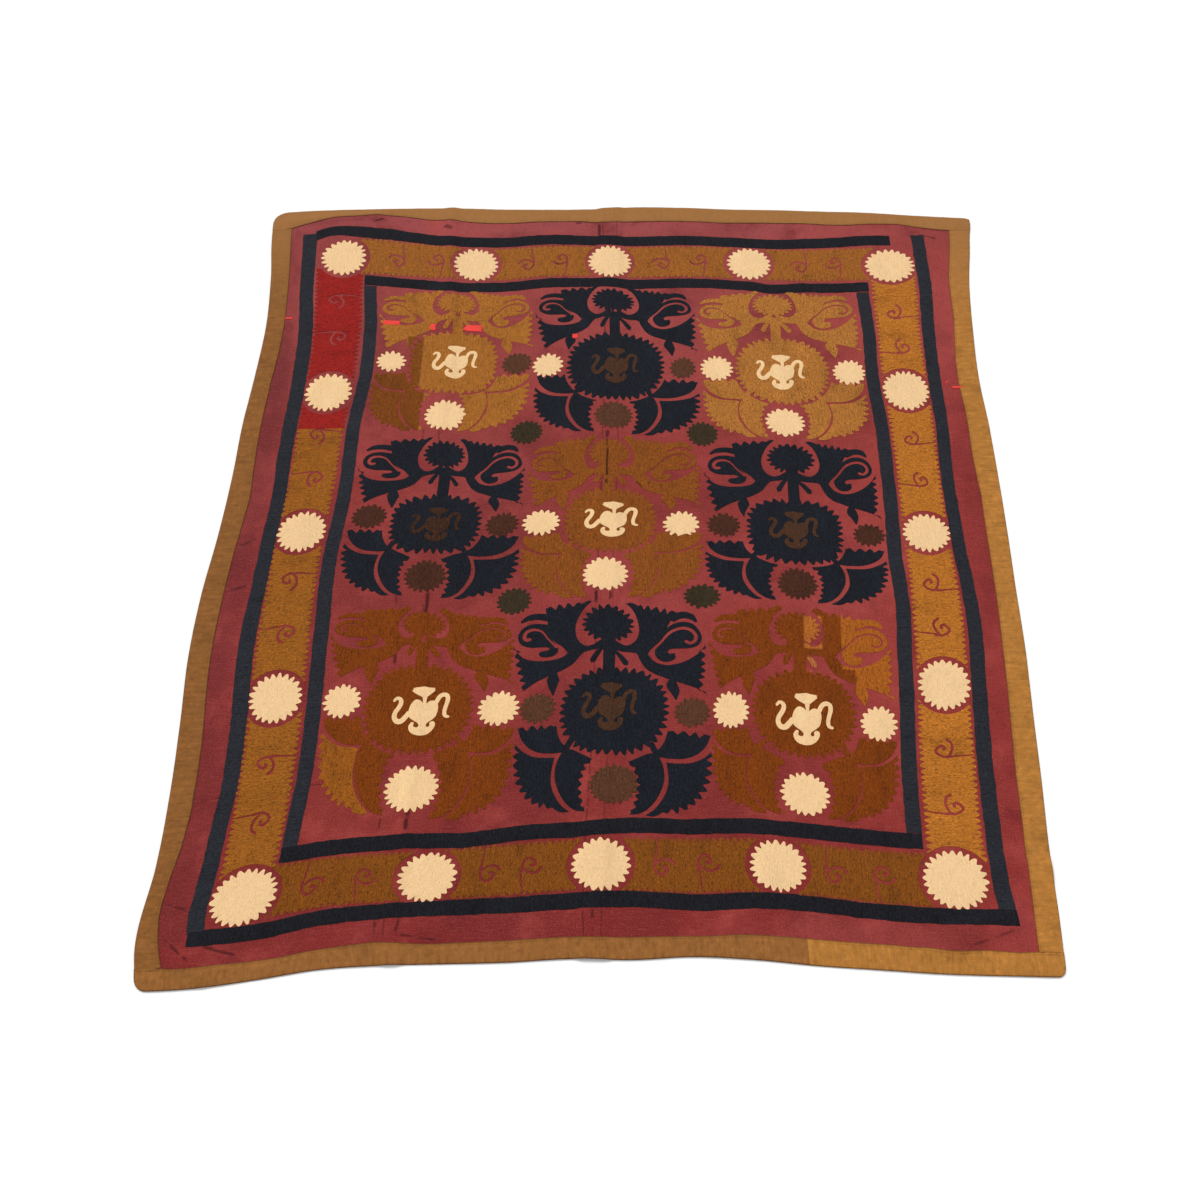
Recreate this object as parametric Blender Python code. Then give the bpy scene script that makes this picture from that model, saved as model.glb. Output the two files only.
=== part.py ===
"""A suzani, an embroidered cover, spread out flat on a floor.

The cover is one ground cloth with a narrow binding strip sewn round it. The bottom strip is joined
from two lengths, and the side strips stand between the top and the bottom ones. Every piece is a
thin sheet that lies on z = 0, with its few fold ridges lifted off it.

A place on the cloth is (u, v): the distance in metres from its middle across and along, as if it
were pulled square. The two LIE tables say where its lines came to rest on the floor.
Metres, +Z up, +X across the cover, +Y along it. The origin is under the middle of its outline.
"""

import math

import bmesh
import bpy

# The cover, pulled square
CLOTH_WIDTH = 1.806
CLOTH_LENGTH = 2.024
BINDING_WIDTH = 0.044
BINDING_JOIN = 0.401         # across, where the two lengths of the bottom strip meet
BAND_INSET = 0.098           # from the edge of the cover to its outer black band
INNER_INSET = 0.254          # from the edge of the cover to its inner black band
GROUND_THICKNESS = 0.0016
BINDING_THICKNESS = 0.0024   # folded double
SEAM_GAP = 0.0003

# The mesh
CELL = 0.050
BINDING_CELLS = 3

# Where the cloth's lengthwise lines lie: millimetres across the floor, at each place along
LIE_ACROSS = (
    # along, edge,  band, inner, inner, band, edge
    (-1012, -935, -846, -690, 625, 797, 871),
    (-900, -947, -847, -690, 620, 788, 876),
    (-750, -931, -829, -678, 619, 781, 879),
    (-600, -927, -821, -667, 625, 787, 887),
    (-450, -930, -821, -664, 636, 795, 893),
    (-300, -936, -826, -666, 647, 803, 900),
    (-150, -930, -819, -667, 654, 805, 902),
    (0, -914, -811, -659, 655, 800, 905),
    (150, -903, -799, -648, 656, 797, 906),
    (300, -898, -796, -643, 656, 803, 905),
    (450, -886, -793, -631, 651, 802, 900),
    (600, -878, -794, -629, 653, 805, 906),
    (750, -885, -804, -637, 652, 814, 917),
    (900, -898, -814, -638, 654, 822, 937),
    (1012, -900, -815, -640, 655, 823, 947),
)

# Where its crosswise lines lie: millimetres along the floor, at each place across
LIE_ALONG = (
    # across, edge,  band, inner, inner, band, edge
    (-903, -1043, -950, -800, 800, 936, 1020),
    (-780, -1037, -943, -790, 798, 956, 1029),
    (-660, -1020, -925, -775, 795, 972, 1034),
    (-540, -1000, -902, -758, 786, 953, 1037),
    (-420, -992, -892, -750, 779, 933, 1038),
    (-300, -989, -885, -742, 774, 928, 1034),
    (-180, -986, -879, -731, 786, 939, 1033),
    (-60, -979, -869, -720, 789, 936, 1034),
    (60, -981, -869, -717, 783, 934, 1042),
    (180, -975, -876, -717, 787, 938, 1040),
    (300, -981, -873, -718, 780, 932, 1034),
    (420, -993, -881, -730, 773, 926, 1031),
    (540, -1001, -896, -743, 770, 928, 1027),
    (660, -1009, -905, -750, 774, 933, 1022),
    (780, -1013, -909, -753, 776, 933, 1011),
    (903, -1015, -912, -755, 778, 930, 1001),
)

# How far each corner of the binding is rounded
CORNERS = (
    # side, end, radius
    (-1, 1, 0.043),
    (1, 1, 0.015),
    (-1, -1, 0.026),
    (1, -1, 0.020),
)

# Ridges: the two long folds that the cloth keeps from being stored, and its smaller wrinkles
# Each has: from across, along, to across, along, flat top, slope, height
CENTRE_FOLD = (-0.016, -1.020, -0.016, 1.020, 0.036, 0.024, 0.0040)
SIDE_FOLD = (-0.406, -1.020, -0.436, 1.020, 0.004, 0.026, 0.0034)
RIDGES = (
    CENTRE_FOLD,
    SIDE_FOLD,
    (-0.475, -0.700, -0.480, -0.100, 0.004, 0.024, 0.0024),
    (-0.860, -0.606, -0.700, -0.598, 0.004, 0.030, 0.0022),
    (0.640, -0.958, 0.800, -0.905, 0.010, 0.036, 0.0070),
    (0.770, -0.790, 0.900, -0.800, 0.006, 0.034, 0.0042),
    (-0.480, -0.950, -0.300, -0.940, 0.004, 0.032, 0.0034),
    (-0.840, 0.965, -0.640, 0.975, 0.004, 0.032, 0.0036),
    (-0.880, -0.935, -0.760, -0.985, 0.006, 0.034, 0.0050),
    (0.150, 0.200, 0.155, 0.380, 0.004, 0.026, 0.0018),
)

# Colour, linear red, green and blue, and roughness
FINISHES = {
    "ground_cotton": ((0.200, 0.022, 0.030), 0.75),
    "binding_brown": ((0.290, 0.150, 0.048), 0.85),
    "binding_gold": ((0.420, 0.230, 0.058), 0.85),
}

MILLIMETRE = 0.001
HALF_WIDTH = CLOTH_WIDTH / 2
HALF_LENGTH = CLOTH_LENGTH / 2
SEAM_ACROSS = HALF_WIDTH - BINDING_WIDTH
SEAM_ALONG = HALF_LENGTH - BINDING_WIDTH


def spread(values, places, place):
    """A smooth curve through the values at the places, read at one place, straight past its ends."""
    last = len(places) - 2
    row = 0
    while row < last and place > places[row + 1]:
        row += 1
    near, far = places[row], places[row + 1]
    t = (place - near) / (far - near)
    start, end = values[row], values[row + 1]
    if t <= 0 or t >= 1:
        return start + (end - start) * t
    before = values[max(row - 1, 0)]
    after = values[min(row + 2, last + 1)]
    slope_in = (end - before) / 2
    slope_out = (after - start) / 2
    return (
        start * (2 * t**3 - 3 * t**2 + 1)
        + end * (3 * t**2 - 2 * t**3)
        + slope_in * (t**3 - 2 * t**2 + t)
        + slope_out * (t**3 - t**2)
    )


def line_through(values, places, place):
    """Straight runs through the values, for the six lines that a row gives."""
    row = 0
    while row < len(places) - 2 and place > places[row + 1]:
        row += 1
    t = (place - places[row]) / (places[row + 1] - places[row])
    return values[row] + (values[row + 1] - values[row]) * t


def lying(table, half, across_lines, place):
    """The floor place of the point that is `across_lines` from the middle, in the table's row at `place`."""
    rows = [row[0] * MILLIMETRE for row in table]
    lines = []
    for column in range(1, 7):
        lines.append(spread([row[column] * MILLIMETRE for row in table], rows, place))
    insets = (0.0, BAND_INSET, INNER_INSET)
    marks = [inset - half for inset in insets] + [half - inset for inset in reversed(insets)]
    return line_through(lines, marks, across_lines)


def rounded(u, v):
    """Draw a point near a corner of the cover in, so that the corner is a quarter round."""
    for side, end, radius in CORNERS:
        a = 1 - (HALF_WIDTH - side * u) / radius
        b = 1 - (HALF_LENGTH - end * v) / radius
        if a > 0 and b > 0:
            return (
                side * (HALF_WIDTH - radius * (1 - a * math.sqrt(1 - b * b / 2))),
                end * (HALF_LENGTH - radius * (1 - b * math.sqrt(1 - a * a / 2))),
            )
    return u, v


def lift(u, v):
    """The height of the cloth's underside over the floor."""
    height = 0.0
    for u1, v1, u2, v2, top, slope, high in RIDGES:
        run = math.hypot(u2 - u1, v2 - v1)
        along = ((u - u1) * (u2 - u1) + (v - v1) * (v2 - v1)) / run
        off = abs((u - u1) * (v2 - v1) - (v - v1) * (u2 - u1)) / run
        past = max(-along, along - run, 0.0)
        away = math.hypot(max(off - top / 2, 0.0), past)
        if away < slope:
            height = max(height, high * (1 + math.cos(math.pi * away / slope)) / 2)
    return height


def laid(u, v):
    """Where the point (u, v) of the cloth's underside lies."""
    u_drawn, v_drawn = rounded(u, v)
    x = lying(LIE_ACROSS, HALF_WIDTH, u_drawn, v_drawn)
    y = lying(LIE_ALONG, HALF_LENGTH, v_drawn, u_drawn)
    return x, y, lift(u, v)


def divided(marks, cell):
    """The marks, with even steps of at most `cell` between them."""
    stations = [marks[0]]
    for near, far in zip(marks, marks[1:]):
        steps = max(1, math.ceil((far - near) / cell - 0.01))
        for step in range(1, steps + 1):
            stations.append(near + (far - near) * step / steps)
    return stations


def fold_marks():
    """Places across the cloth where its two long folds need a row of points."""
    middle = CENTRE_FOLD[0]
    shoulder = middle + CENTRE_FOLD[4] / 2
    foot = shoulder + CENTRE_FOLD[5]
    side = (SIDE_FOLD[0] + SIDE_FOLD[2]) / 2
    reach = SIDE_FOLD[5]
    return [side - reach, side, side + reach, 2 * middle - foot, 2 * middle - shoulder, shoulder, foot]


ACROSS = divided([-SEAM_ACROSS] + fold_marks() + [BINDING_JOIN, SEAM_ACROSS], CELL)
ALONG = divided([-SEAM_ALONG, SEAM_ALONG], CELL)
STRIP_LEFT = divided([-HALF_WIDTH, -SEAM_ACROSS], BINDING_WIDTH / BINDING_CELLS)
STRIP_RIGHT = divided([SEAM_ACROSS, HALF_WIDTH], BINDING_WIDTH / BINDING_CELLS)
STRIP_BOTTOM = divided([-HALF_LENGTH, -SEAM_ALONG], BINDING_WIDTH / BINDING_CELLS)
STRIP_TOP = divided([SEAM_ALONG, HALF_LENGTH], BINDING_WIDTH / BINDING_CELLS)
WHOLE_ACROSS = STRIP_LEFT[:-1] + ACROSS + STRIP_RIGHT[1:]


def held_off(stations, near_seam, far_seam):
    """The stations of one piece, its ends drawn in by half the gap where a seam is."""
    inset = list(stations)
    if near_seam:
        inset[0] += SEAM_GAP / 2
    if far_seam:
        inset[-1] -= SEAM_GAP / 2
    return inset


def finish(name):
    material = bpy.data.materials.get(name)
    if material:
        return material
    colour, roughness = FINISHES[name]
    material = bpy.data.materials.new(name)
    material.use_nodes = True
    shader = material.node_tree.nodes["Principled BSDF"]
    shader.inputs["Base Color"].default_value = (*colour, 1.0)
    shader.inputs["Roughness"].default_value = roughness
    shader.inputs["Metallic"].default_value = 0.0
    return material


def sheet(name, across, along, thickness, material, offset):
    """One piece of cloth: its underside as laid, and its upper side the thickness above it."""
    mesh = bmesh.new()
    rows = []
    for v in along:
        row = []
        for u in across:
            x, y, z = laid(u, v)
            row.append(mesh.verts.new((x - offset[0], y - offset[1], z)))
        rows.append(row)
    for lower, upper in zip(rows, rows[1:]):
        for column in range(len(across) - 1):
            mesh.faces.new((lower[column], upper[column], upper[column + 1], lower[column + 1]))
    bmesh.ops.triangulate(mesh, faces=mesh.faces[:], quad_method="FIXED")
    raised = bmesh.ops.extrude_face_region(mesh, geom=mesh.faces[:], use_keep_orig=True)
    raised_points = [part for part in raised["geom"] if isinstance(part, bmesh.types.BMVert)]
    bmesh.ops.translate(mesh, verts=raised_points, vec=(0.0, 0.0, thickness))
    bmesh.ops.recalc_face_normals(mesh, faces=mesh.faces[:])
    data = bpy.data.meshes.new(name)
    mesh.to_mesh(data)
    mesh.free()
    data.materials.append(finish(material))
    piece = bpy.data.objects.new(name, data)
    bpy.context.scene.collection.objects.link(piece)
    return piece


def middle_of_outline():
    """The middle of the box round the cover's edge, which the origin lies under."""
    edge = [laid(side * HALF_WIDTH, v) for v in STRIP_BOTTOM + ALONG + STRIP_TOP for side in (-1, 1)]
    edge += [laid(u, end * HALF_LENGTH) for u in WHOLE_ACROSS for end in (-1, 1)]
    xs = [point[0] for point in edge]
    ys = [point[1] for point in edge]
    return (min(xs) + max(xs)) / 2, (min(ys) + max(ys)) / 2


def clear_scene():
    for thing in list(bpy.data.objects):
        bpy.data.objects.remove(thing, do_unlink=True)


def main():
    clear_scene()
    offset = middle_of_outline()
    join = WHOLE_ACROSS.index(BINDING_JOIN) + 1
    within = held_off(ALONG, True, True)
    sheet("ground_cloth", held_off(ACROSS, True, True), within, GROUND_THICKNESS, "ground_cotton", offset)
    sheet("binding_left", held_off(STRIP_LEFT, False, True), within, BINDING_THICKNESS,
          "binding_brown", offset)
    sheet("binding_right", held_off(STRIP_RIGHT, True, False), within, BINDING_THICKNESS,
          "binding_gold", offset)
    sheet("binding_top", WHOLE_ACROSS, held_off(STRIP_TOP, True, False), BINDING_THICKNESS,
          "binding_brown", offset)
    bottom = held_off(STRIP_BOTTOM, False, True)
    sheet("binding_bottom_left", held_off(WHOLE_ACROSS[:join], False, True), bottom, BINDING_THICKNESS,
          "binding_brown", offset)
    sheet("binding_bottom_right", held_off(WHOLE_ACROSS[join - 1:], True, False), bottom,
          BINDING_THICKNESS, "binding_gold", offset)


main()
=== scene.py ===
"""A suzani, an embroidered cover, spread out flat on a pale floor and seen from above its lower edge.

The ground cloth, its binding and all its embroidery are drawn on the flat cloth and then laid down
together. A place on the cloth is (u, v): metres from its middle across and along, as if it were
pulled square. The two LIE tables say where its lines came to rest on the floor. Embroidered shapes
are charted in millimetres and filled with a thin pad of couched thread.
"""

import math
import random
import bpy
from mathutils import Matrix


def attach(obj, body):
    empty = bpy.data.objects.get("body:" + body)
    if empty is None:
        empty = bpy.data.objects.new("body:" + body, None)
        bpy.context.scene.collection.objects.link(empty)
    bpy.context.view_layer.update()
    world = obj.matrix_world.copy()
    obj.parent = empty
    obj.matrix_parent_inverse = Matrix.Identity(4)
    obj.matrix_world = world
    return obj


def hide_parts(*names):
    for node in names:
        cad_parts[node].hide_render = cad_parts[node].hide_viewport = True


bl_info = {
    "name": "Suzani cover",
    "version": (1, 0, 0),
    "blender": (4, 5, 0),
    "location": "View3D > Sidebar > Suzani",
    "description": "Models an embroidered cotton cover that lies on a floor",
    "category": "Add Mesh",
}

import bmesh
import bpy
import numpy as np
from bpy.props import FloatProperty, FloatVectorProperty, IntProperty, PointerProperty
from mathutils import Vector
from mathutils.geometry import delaunay_2d_cdt

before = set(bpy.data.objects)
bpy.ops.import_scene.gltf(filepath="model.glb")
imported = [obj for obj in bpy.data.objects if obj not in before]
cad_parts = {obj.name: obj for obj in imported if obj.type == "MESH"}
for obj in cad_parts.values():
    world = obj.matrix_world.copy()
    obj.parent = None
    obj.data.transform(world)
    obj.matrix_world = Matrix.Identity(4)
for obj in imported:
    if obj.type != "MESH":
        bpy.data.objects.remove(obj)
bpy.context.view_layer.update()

MILLIMETRE = 0.001

# The cover, pulled square
CLOTH_WIDTH = 1.806
CLOTH_LENGTH = 2.024
BINDING_WIDTH = 0.044
BINDING_JOIN = 0.401
BAND_INSET = 0.098
INNER_INSET = 0.254
GROUND_THICKNESS = 0.0016
HALF_WIDTH = CLOTH_WIDTH / 2
HALF_LENGTH = CLOTH_LENGTH / 2
SEAM_ACROSS = HALF_WIDTH - BINDING_WIDTH
SEAM_ALONG = HALF_LENGTH - BINDING_WIDTH

# Where the cloth's lengthwise lines lie: millimetres across the floor, at each place along
LIE_ACROSS = (
    # along, edge,  band, inner, inner, band, edge
    (-1012, -935, -846, -690, 625, 797, 871),
    (-900, -947, -847, -690, 620, 788, 876),
    (-750, -931, -829, -678, 619, 781, 879),
    (-600, -927, -821, -667, 625, 787, 887),
    (-450, -930, -821, -664, 636, 795, 893),
    (-300, -936, -826, -666, 647, 803, 900),
    (-150, -930, -819, -667, 654, 805, 902),
    (0, -914, -811, -659, 655, 800, 905),
    (150, -903, -799, -648, 656, 797, 906),
    (300, -898, -796, -643, 656, 803, 905),
    (450, -886, -793, -631, 651, 802, 900),
    (600, -878, -794, -629, 653, 805, 906),
    (750, -885, -804, -637, 652, 814, 917),
    (900, -898, -814, -638, 654, 822, 937),
    (1012, -900, -815, -640, 655, 823, 947),
)

# Where its crosswise lines lie: millimetres along the floor, at each place across
LIE_ALONG = (
    # across, edge,  band, inner, inner, band, edge
    (-903, -1043, -950, -800, 800, 936, 1020),
    (-780, -1037, -943, -790, 798, 956, 1029),
    (-660, -1020, -925, -775, 795, 972, 1034),
    (-540, -1000, -902, -758, 786, 953, 1037),
    (-420, -992, -892, -750, 779, 933, 1038),
    (-300, -989, -885, -742, 774, 928, 1034),
    (-180, -986, -879, -731, 786, 939, 1033),
    (-60, -979, -869, -720, 789, 936, 1034),
    (60, -981, -869, -717, 783, 934, 1042),
    (180, -975, -876, -717, 787, 938, 1040),
    (300, -981, -873, -718, 780, 932, 1034),
    (420, -993, -881, -730, 773, 926, 1031),
    (540, -1001, -896, -743, 770, 928, 1027),
    (660, -1009, -905, -750, 774, 933, 1022),
    (780, -1013, -909, -753, 776, 933, 1011),
    (903, -1015, -912, -755, 778, 930, 1001),
)

# How far each corner of the binding is rounded
CORNERS = (
    # side, end, radius
    (-1, 1, 0.043),
    (1, 1, 0.015),
    (-1, -1, 0.026),
    (1, -1, 0.020),
)

# Long folds and wrinkles: from across, along, to across, along, flat top, slope, height
CENTRE_FOLD = (-0.016, -1.020, -0.016, 1.020, 0.036, 0.024, 0.0040)
SIDE_FOLD = (-0.406, -1.020, -0.436, 1.020, 0.004, 0.026, 0.0034)
RIDGES = (
    CENTRE_FOLD,
    SIDE_FOLD,
    (-0.475, -0.700, -0.480, -0.100, 0.004, 0.024, 0.0024),
    (-0.860, -0.606, -0.700, -0.598, 0.004, 0.030, 0.0022),
    (0.640, -0.958, 0.800, -0.905, 0.010, 0.036, 0.0070),
    (0.770, -0.790, 0.900, -0.800, 0.006, 0.034, 0.0042),
    (-0.480, -0.950, -0.300, -0.940, 0.004, 0.032, 0.0034),
    (-0.840, 0.965, -0.640, 0.975, 0.004, 0.032, 0.0036),
    (-0.880, -0.935, -0.760, -0.985, 0.006, 0.034, 0.0050),
    (0.150, 0.200, 0.155, 0.380, 0.004, 0.026, 0.0018),
)

# Small soft unevenness that the whole cloth has: waves as (length, height)
SOFT_WAVES = ((0.110, 0.0010), (0.045, 0.0005))
PUCKER_LENGTH = 0.021
PUCKER_REACH = 0.030
PUCKER_HEIGHT = 0.0009
PUCKER_ACROSS = 0.080

# The camera, where the photograph was taken from
CAMERA_PLACE = (-0.034, -1.738, 2.718)
CAMERA_TILT = math.radians(30.0)
CAMERA_LENS = 42.0
FLOOR_DROP = 0.0003     # how far the floor lies under the cover
SUN_SPREAD = math.radians(22.0)
SUN_TURN = (math.radians(-38.0), math.radians(-24.0), 0.0)


def dye(red, green, blue):
    """The linear colour that shows as these display values, 0 to 255."""
    shown = (red / 255, green / 255, blue / 255)
    return tuple(part / 12.92 if part <= 0.04045 else ((part + 0.055) / 1.055) ** 2.4 for part in shown)


# ---------------------------------------------------------------------------------------------
# The way from the flat cloth to the floor
# ---------------------------------------------------------------------------------------------

def lines_at(table, places):
    """The six lines of a LIE table, as smooth curves through its rows, read at each place."""
    rows = np.array([row[0] for row in table]) * MILLIMETRE
    values = np.array([row[1:] for row in table]) * MILLIMETRE
    last = len(rows) - 2
    at = np.clip(np.searchsorted(rows, places) - 1, 0, last)
    t = ((places - rows[at]) / (rows[at + 1] - rows[at]))[:, None]
    start, end = values[at], values[at + 1]
    slope_in = (end - values[np.maximum(at - 1, 0)]) / 2
    slope_out = (values[np.minimum(at + 2, last + 1)] - start) / 2
    curved = (
        start * (2 * t**3 - 3 * t**2 + 1)
        + end * (3 * t**2 - 2 * t**3)
        + slope_in * (t**3 - 2 * t**2 + t)
        + slope_out * (t**3 - t**2)
    )
    return np.where((t <= 0) | (t >= 1), start + (end - start) * t, curved)


def lying(table, half, across_lines, places):
    """The floor places of the points that are `across_lines` from the middle, in the table's rows."""
    lines = lines_at(table, places)
    insets = (0.0, BAND_INSET, INNER_INSET)
    marks = np.array([inset - half for inset in insets] + [half - inset for inset in reversed(insets)])
    at = np.clip(np.searchsorted(marks, across_lines) - 1, 0, len(marks) - 2)
    t = (across_lines - marks[at]) / (marks[at + 1] - marks[at])
    every = np.arange(len(places))
    return lines[every, at] + (lines[every, at + 1] - lines[every, at]) * t


def rounded(u, v):
    """Points near the cover's corners drawn in, so that each corner is a quarter round."""
    u, v = u.copy(), v.copy()
    for side, end, radius in CORNERS:
        a = 1 - (HALF_WIDTH - side * u) / radius
        b = 1 - (HALF_LENGTH - end * v) / radius
        at = (a > 0) & (b > 0)
        a, b = a[at], b[at]
        u[at] = side * (HALF_WIDTH - radius * (1 - a * np.sqrt(1 - b * b / 2)))
        v[at] = end * (HALF_LENGTH - radius * (1 - b * np.sqrt(1 - a * a / 2)))
    return u, v


LATTICE_SEED, LATTICE_SIZE = 11, 97
LATTICE = np.random.default_rng(LATTICE_SEED).random((LATTICE_SIZE, LATTICE_SIZE))


def soft_noise(x, y):
    """Smooth seeded noise from 0 to 1 with a wave length of 1.

    A number that is added to x or y only takes it from another part of the lattice.
    """
    column, row = np.floor(x).astype(int), np.floor(y).astype(int)
    s, t = x - column, y - row
    s, t = s * s * (3 - 2 * s), t * t * (3 - 2 * t)
    near, far = row % LATTICE_SIZE, (row + 1) % LATTICE_SIZE
    left, right = column % LATTICE_SIZE, (column + 1) % LATTICE_SIZE
    low = LATTICE[near, left] * (1 - s) + LATTICE[near, right] * s
    high = LATTICE[far, left] * (1 - s) + LATTICE[far, right] * s
    return low * (1 - t) + high * t


def off_line(u, v, start, end):
    """How far each point lies from the stretch between two points."""
    (u1, v1), (u2, v2) = start, end
    run = math.hypot(u2 - u1, v2 - v1)
    along = ((u - u1) * (u2 - u1) + (v - v1) * (v2 - v1)) / run
    off = np.abs((u - u1) * (v2 - v1) - (v - v1) * (u2 - u1)) / run
    past = np.maximum(np.maximum(-along, along - run), 0.0)
    return off, past


def lift(u, v):
    """The height of the cloth's underside over the floor."""
    height = np.zeros(len(u))
    for u1, v1, u2, v2, top, slope, high in RIDGES:
        off, past = off_line(u, v, (u1, v1), (u2, v2))
        away = np.hypot(np.maximum(off - top / 2, 0.0), past)
        rise = high * (1 + np.cos(np.pi * np.minimum(away / slope, 1.0))) / 2
        height = np.maximum(height, rise)
    for length, high in SOFT_WAVES:
        height += high * soft_noise(u / length + 20, v / length + 20)
    return height


def puckers(u, v):
    """The small puckers that the binding's seam draws into both cloths."""
    to_seam = np.minimum(np.abs(SEAM_ACROSS - np.abs(u)), np.abs(SEAM_ALONG - np.abs(v)))
    near = np.clip(1 - to_seam / PUCKER_REACH, 0, 1) ** 1.5
    beside = np.abs(u) / SEAM_ACROSS > np.abs(v) / SEAM_ALONG
    run = np.where(beside, v, u) / PUCKER_LENGTH
    wave = soft_noise(run + 40, np.where(beside, u, v) / PUCKER_ACROSS + 30)
    return PUCKER_HEIGHT * near * wave


def laid_raw(u, v):
    """Where points of the flat cloth lie across and along the floor, before the origin is set."""
    u, v = np.asarray(u, float), np.asarray(v, float)
    u_drawn, v_drawn = rounded(u, v)
    x = lying(LIE_ACROSS, HALF_WIDTH, u_drawn, v_drawn)
    y = lying(LIE_ALONG, HALF_LENGTH, v_drawn, u_drawn)
    return x, y


def middle_of_outline():
    """The middle of the box round the cover's edge, which the origin lies under."""
    along = np.linspace(-HALF_LENGTH, HALF_LENGTH, OUTLINE_STEPS)
    across = np.linspace(-HALF_WIDTH, HALF_WIDTH, OUTLINE_STEPS)
    ends, sides = np.full(OUTLINE_STEPS, HALF_LENGTH), np.full(OUTLINE_STEPS, HALF_WIDTH)
    u = np.concatenate([sides, -sides, across, across])
    v = np.concatenate([along, along, ends, -ends])
    x, y = laid_raw(u, v)
    return (x.min() + x.max()) / 2, (y.min() + y.max()) / 2


OUTLINE_STEPS = 400
MIDDLE = middle_of_outline()


def laid(u, v, above=0.0):
    """Where points of the flat cloth lie in the room, `above` the cloth's underside."""
    x, y = laid_raw(u, v)
    z = lift(u, v) + puckers(u, v) + above
    return np.column_stack([x - MIDDLE[0], y - MIDDLE[1], z])


# ---------------------------------------------------------------------------------------------
# Meshes
# ---------------------------------------------------------------------------------------------

CLOTH_MAP = "cloth"
DESIGN_SHIFT = np.array((1.5, -4.0))     # millimetres that the needlework sits off the ground's middle
SHARP_FOLD = 40.0                        # degrees past which an edge is shown sharp
FINE_CELL = 0.005                        # widest step of the ground's mesh at its folds and its edges


def make_piece(name, points, faces, flat, material, sharp=SHARP_FOLD):
    """A mesh piece with the flat cloth's coordinates as its UV map, attached to the root body."""
    data = bpy.data.meshes.new(name)
    data.from_pydata(points.tolist(), [], faces)
    layer = data.uv_layers.new(name=CLOTH_MAP)
    corners = np.zeros(len(data.loops), np.int32)
    data.loops.foreach_get("vertex_index", corners)
    layer.data.foreach_set("uv", np.asarray(flat, np.float32)[corners].ravel())
    data.shade_smooth()
    data.set_sharp_from_angle(angle=math.radians(sharp))
    data.materials.append(material)
    data.validate()
    piece = bpy.data.objects.new(name, data)
    bpy.context.scene.collection.objects.link(piece)
    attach(piece, "root")
    return piece


def stations(marks, cells):
    """Places from the first mark to the last, each stretch in even steps of at most its own cell."""
    places = []
    for near, far, cell in zip(marks, marks[1:], cells):
        steps = max(1, math.ceil((far - near) / cell - 0.01))
        places += [near + (far - near) * step / steps for step in range(steps)]
    return places + [marks[-1]]


def closed_sheet(across, along, thickness):
    """A sheet over a grid of stations: its points, faces and flat places."""
    wide, long = len(across), len(along)
    flat_u, flat_v = np.meshgrid(across, along)
    u, v = flat_u.ravel(), flat_v.ravel()
    under, over = laid(u, v), laid(u, v, thickness)
    count = len(u)
    faces = []
    for row in range(long - 1):
        for column in range(wide - 1):
            a = row * wide + column
            b, c, d = a + 1, a + wide + 1, a + wide
            faces.append((a + count, b + count, c + count, d + count))
            faces.append((d, c, b, a))
    rim = list(range(wide))
    rim += [row * wide + wide - 1 for row in range(1, long)]
    rim += [(long - 1) * wide + column for column in range(wide - 2, -1, -1)]
    rim += [row * wide for row in range(long - 2, 0, -1)]
    for near, far in zip(rim, rim[1:] + rim[:1]):
        faces.append((near, far, far + count, near + count))
    flat = np.column_stack([u, v])
    return np.vstack([under, over]), faces, np.vstack([flat, flat])


# ---------------------------------------------------------------------------------------------
# Drawing: outlines in millimetres
# ---------------------------------------------------------------------------------------------

PLAIN, TEETH = "plain", "teeth"
# How uneven the teeth are: shift along in teeth, depth as a share, reach in millimetres
EDGE_UNEVEN = (0.14, (0.75, 1.15), (-0.5, 0.5))
DISC_UNEVEN = (0.16, (0.75, 1.20), (-1.2, 1.0))
# Outlines of one tooth: share of the way along it, share of its depth
FINGER = ((0.0, 0.0), (0.17, 0.36), (0.35, 0.82), (0.5, 1.0), (0.65, 0.82), (0.83, 0.36))
COMB = ((0.0, 0.0), (0.15, 0.45), (0.34, 0.90), (0.5, 1.0), (0.66, 0.90), (0.85, 0.45))
PETAL = ((0.0, 0.0), (0.19, 0.46), (0.36, 0.92), (0.5, 1.0), (0.64, 0.92), (0.81, 0.46))


def lengths_along(path):
    """How far along the path each of its points is."""
    return np.concatenate([[0], np.cumsum(np.hypot(*np.diff(path, axis=0).T))])


def smooth_line(points, step=5.0):
    """A smooth line through the points, with a point about every `step` along it."""
    points = np.array(points, float)
    if len(points) == 2:
        path = points
    else:
        padded = np.vstack([2 * points[0] - points[1], points, 2 * points[-1] - points[-2]])
        parts = []
        for a, b, c, d in zip(padded, padded[1:], padded[2:], padded[3:]):
            for t in np.linspace(0, 1, 9)[:-1]:
                parts.append(0.5 * (2 * b + (c - a) * t + (2 * a - 5 * b + 4 * c - d) * t**2
                                    + (3 * b - a - 3 * c + d) * t**3))
        path = np.array(parts + [points[-1]])
    lengths = lengths_along(path)
    count = max(2, math.ceil(lengths[-1] / step) + 1)
    at = np.linspace(0, lengths[-1], count)
    return np.column_stack([np.interp(at, lengths, path[:, 0]), np.interp(at, lengths, path[:, 1])])


def normals_of(path):
    """The unit normals of an open path, on its right where y points up."""
    way = np.gradient(path, axis=0)
    way /= np.maximum(np.hypot(*way.T), 1e-9)[:, None]
    return np.column_stack([way[:, 1], -way[:, 0]])


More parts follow.
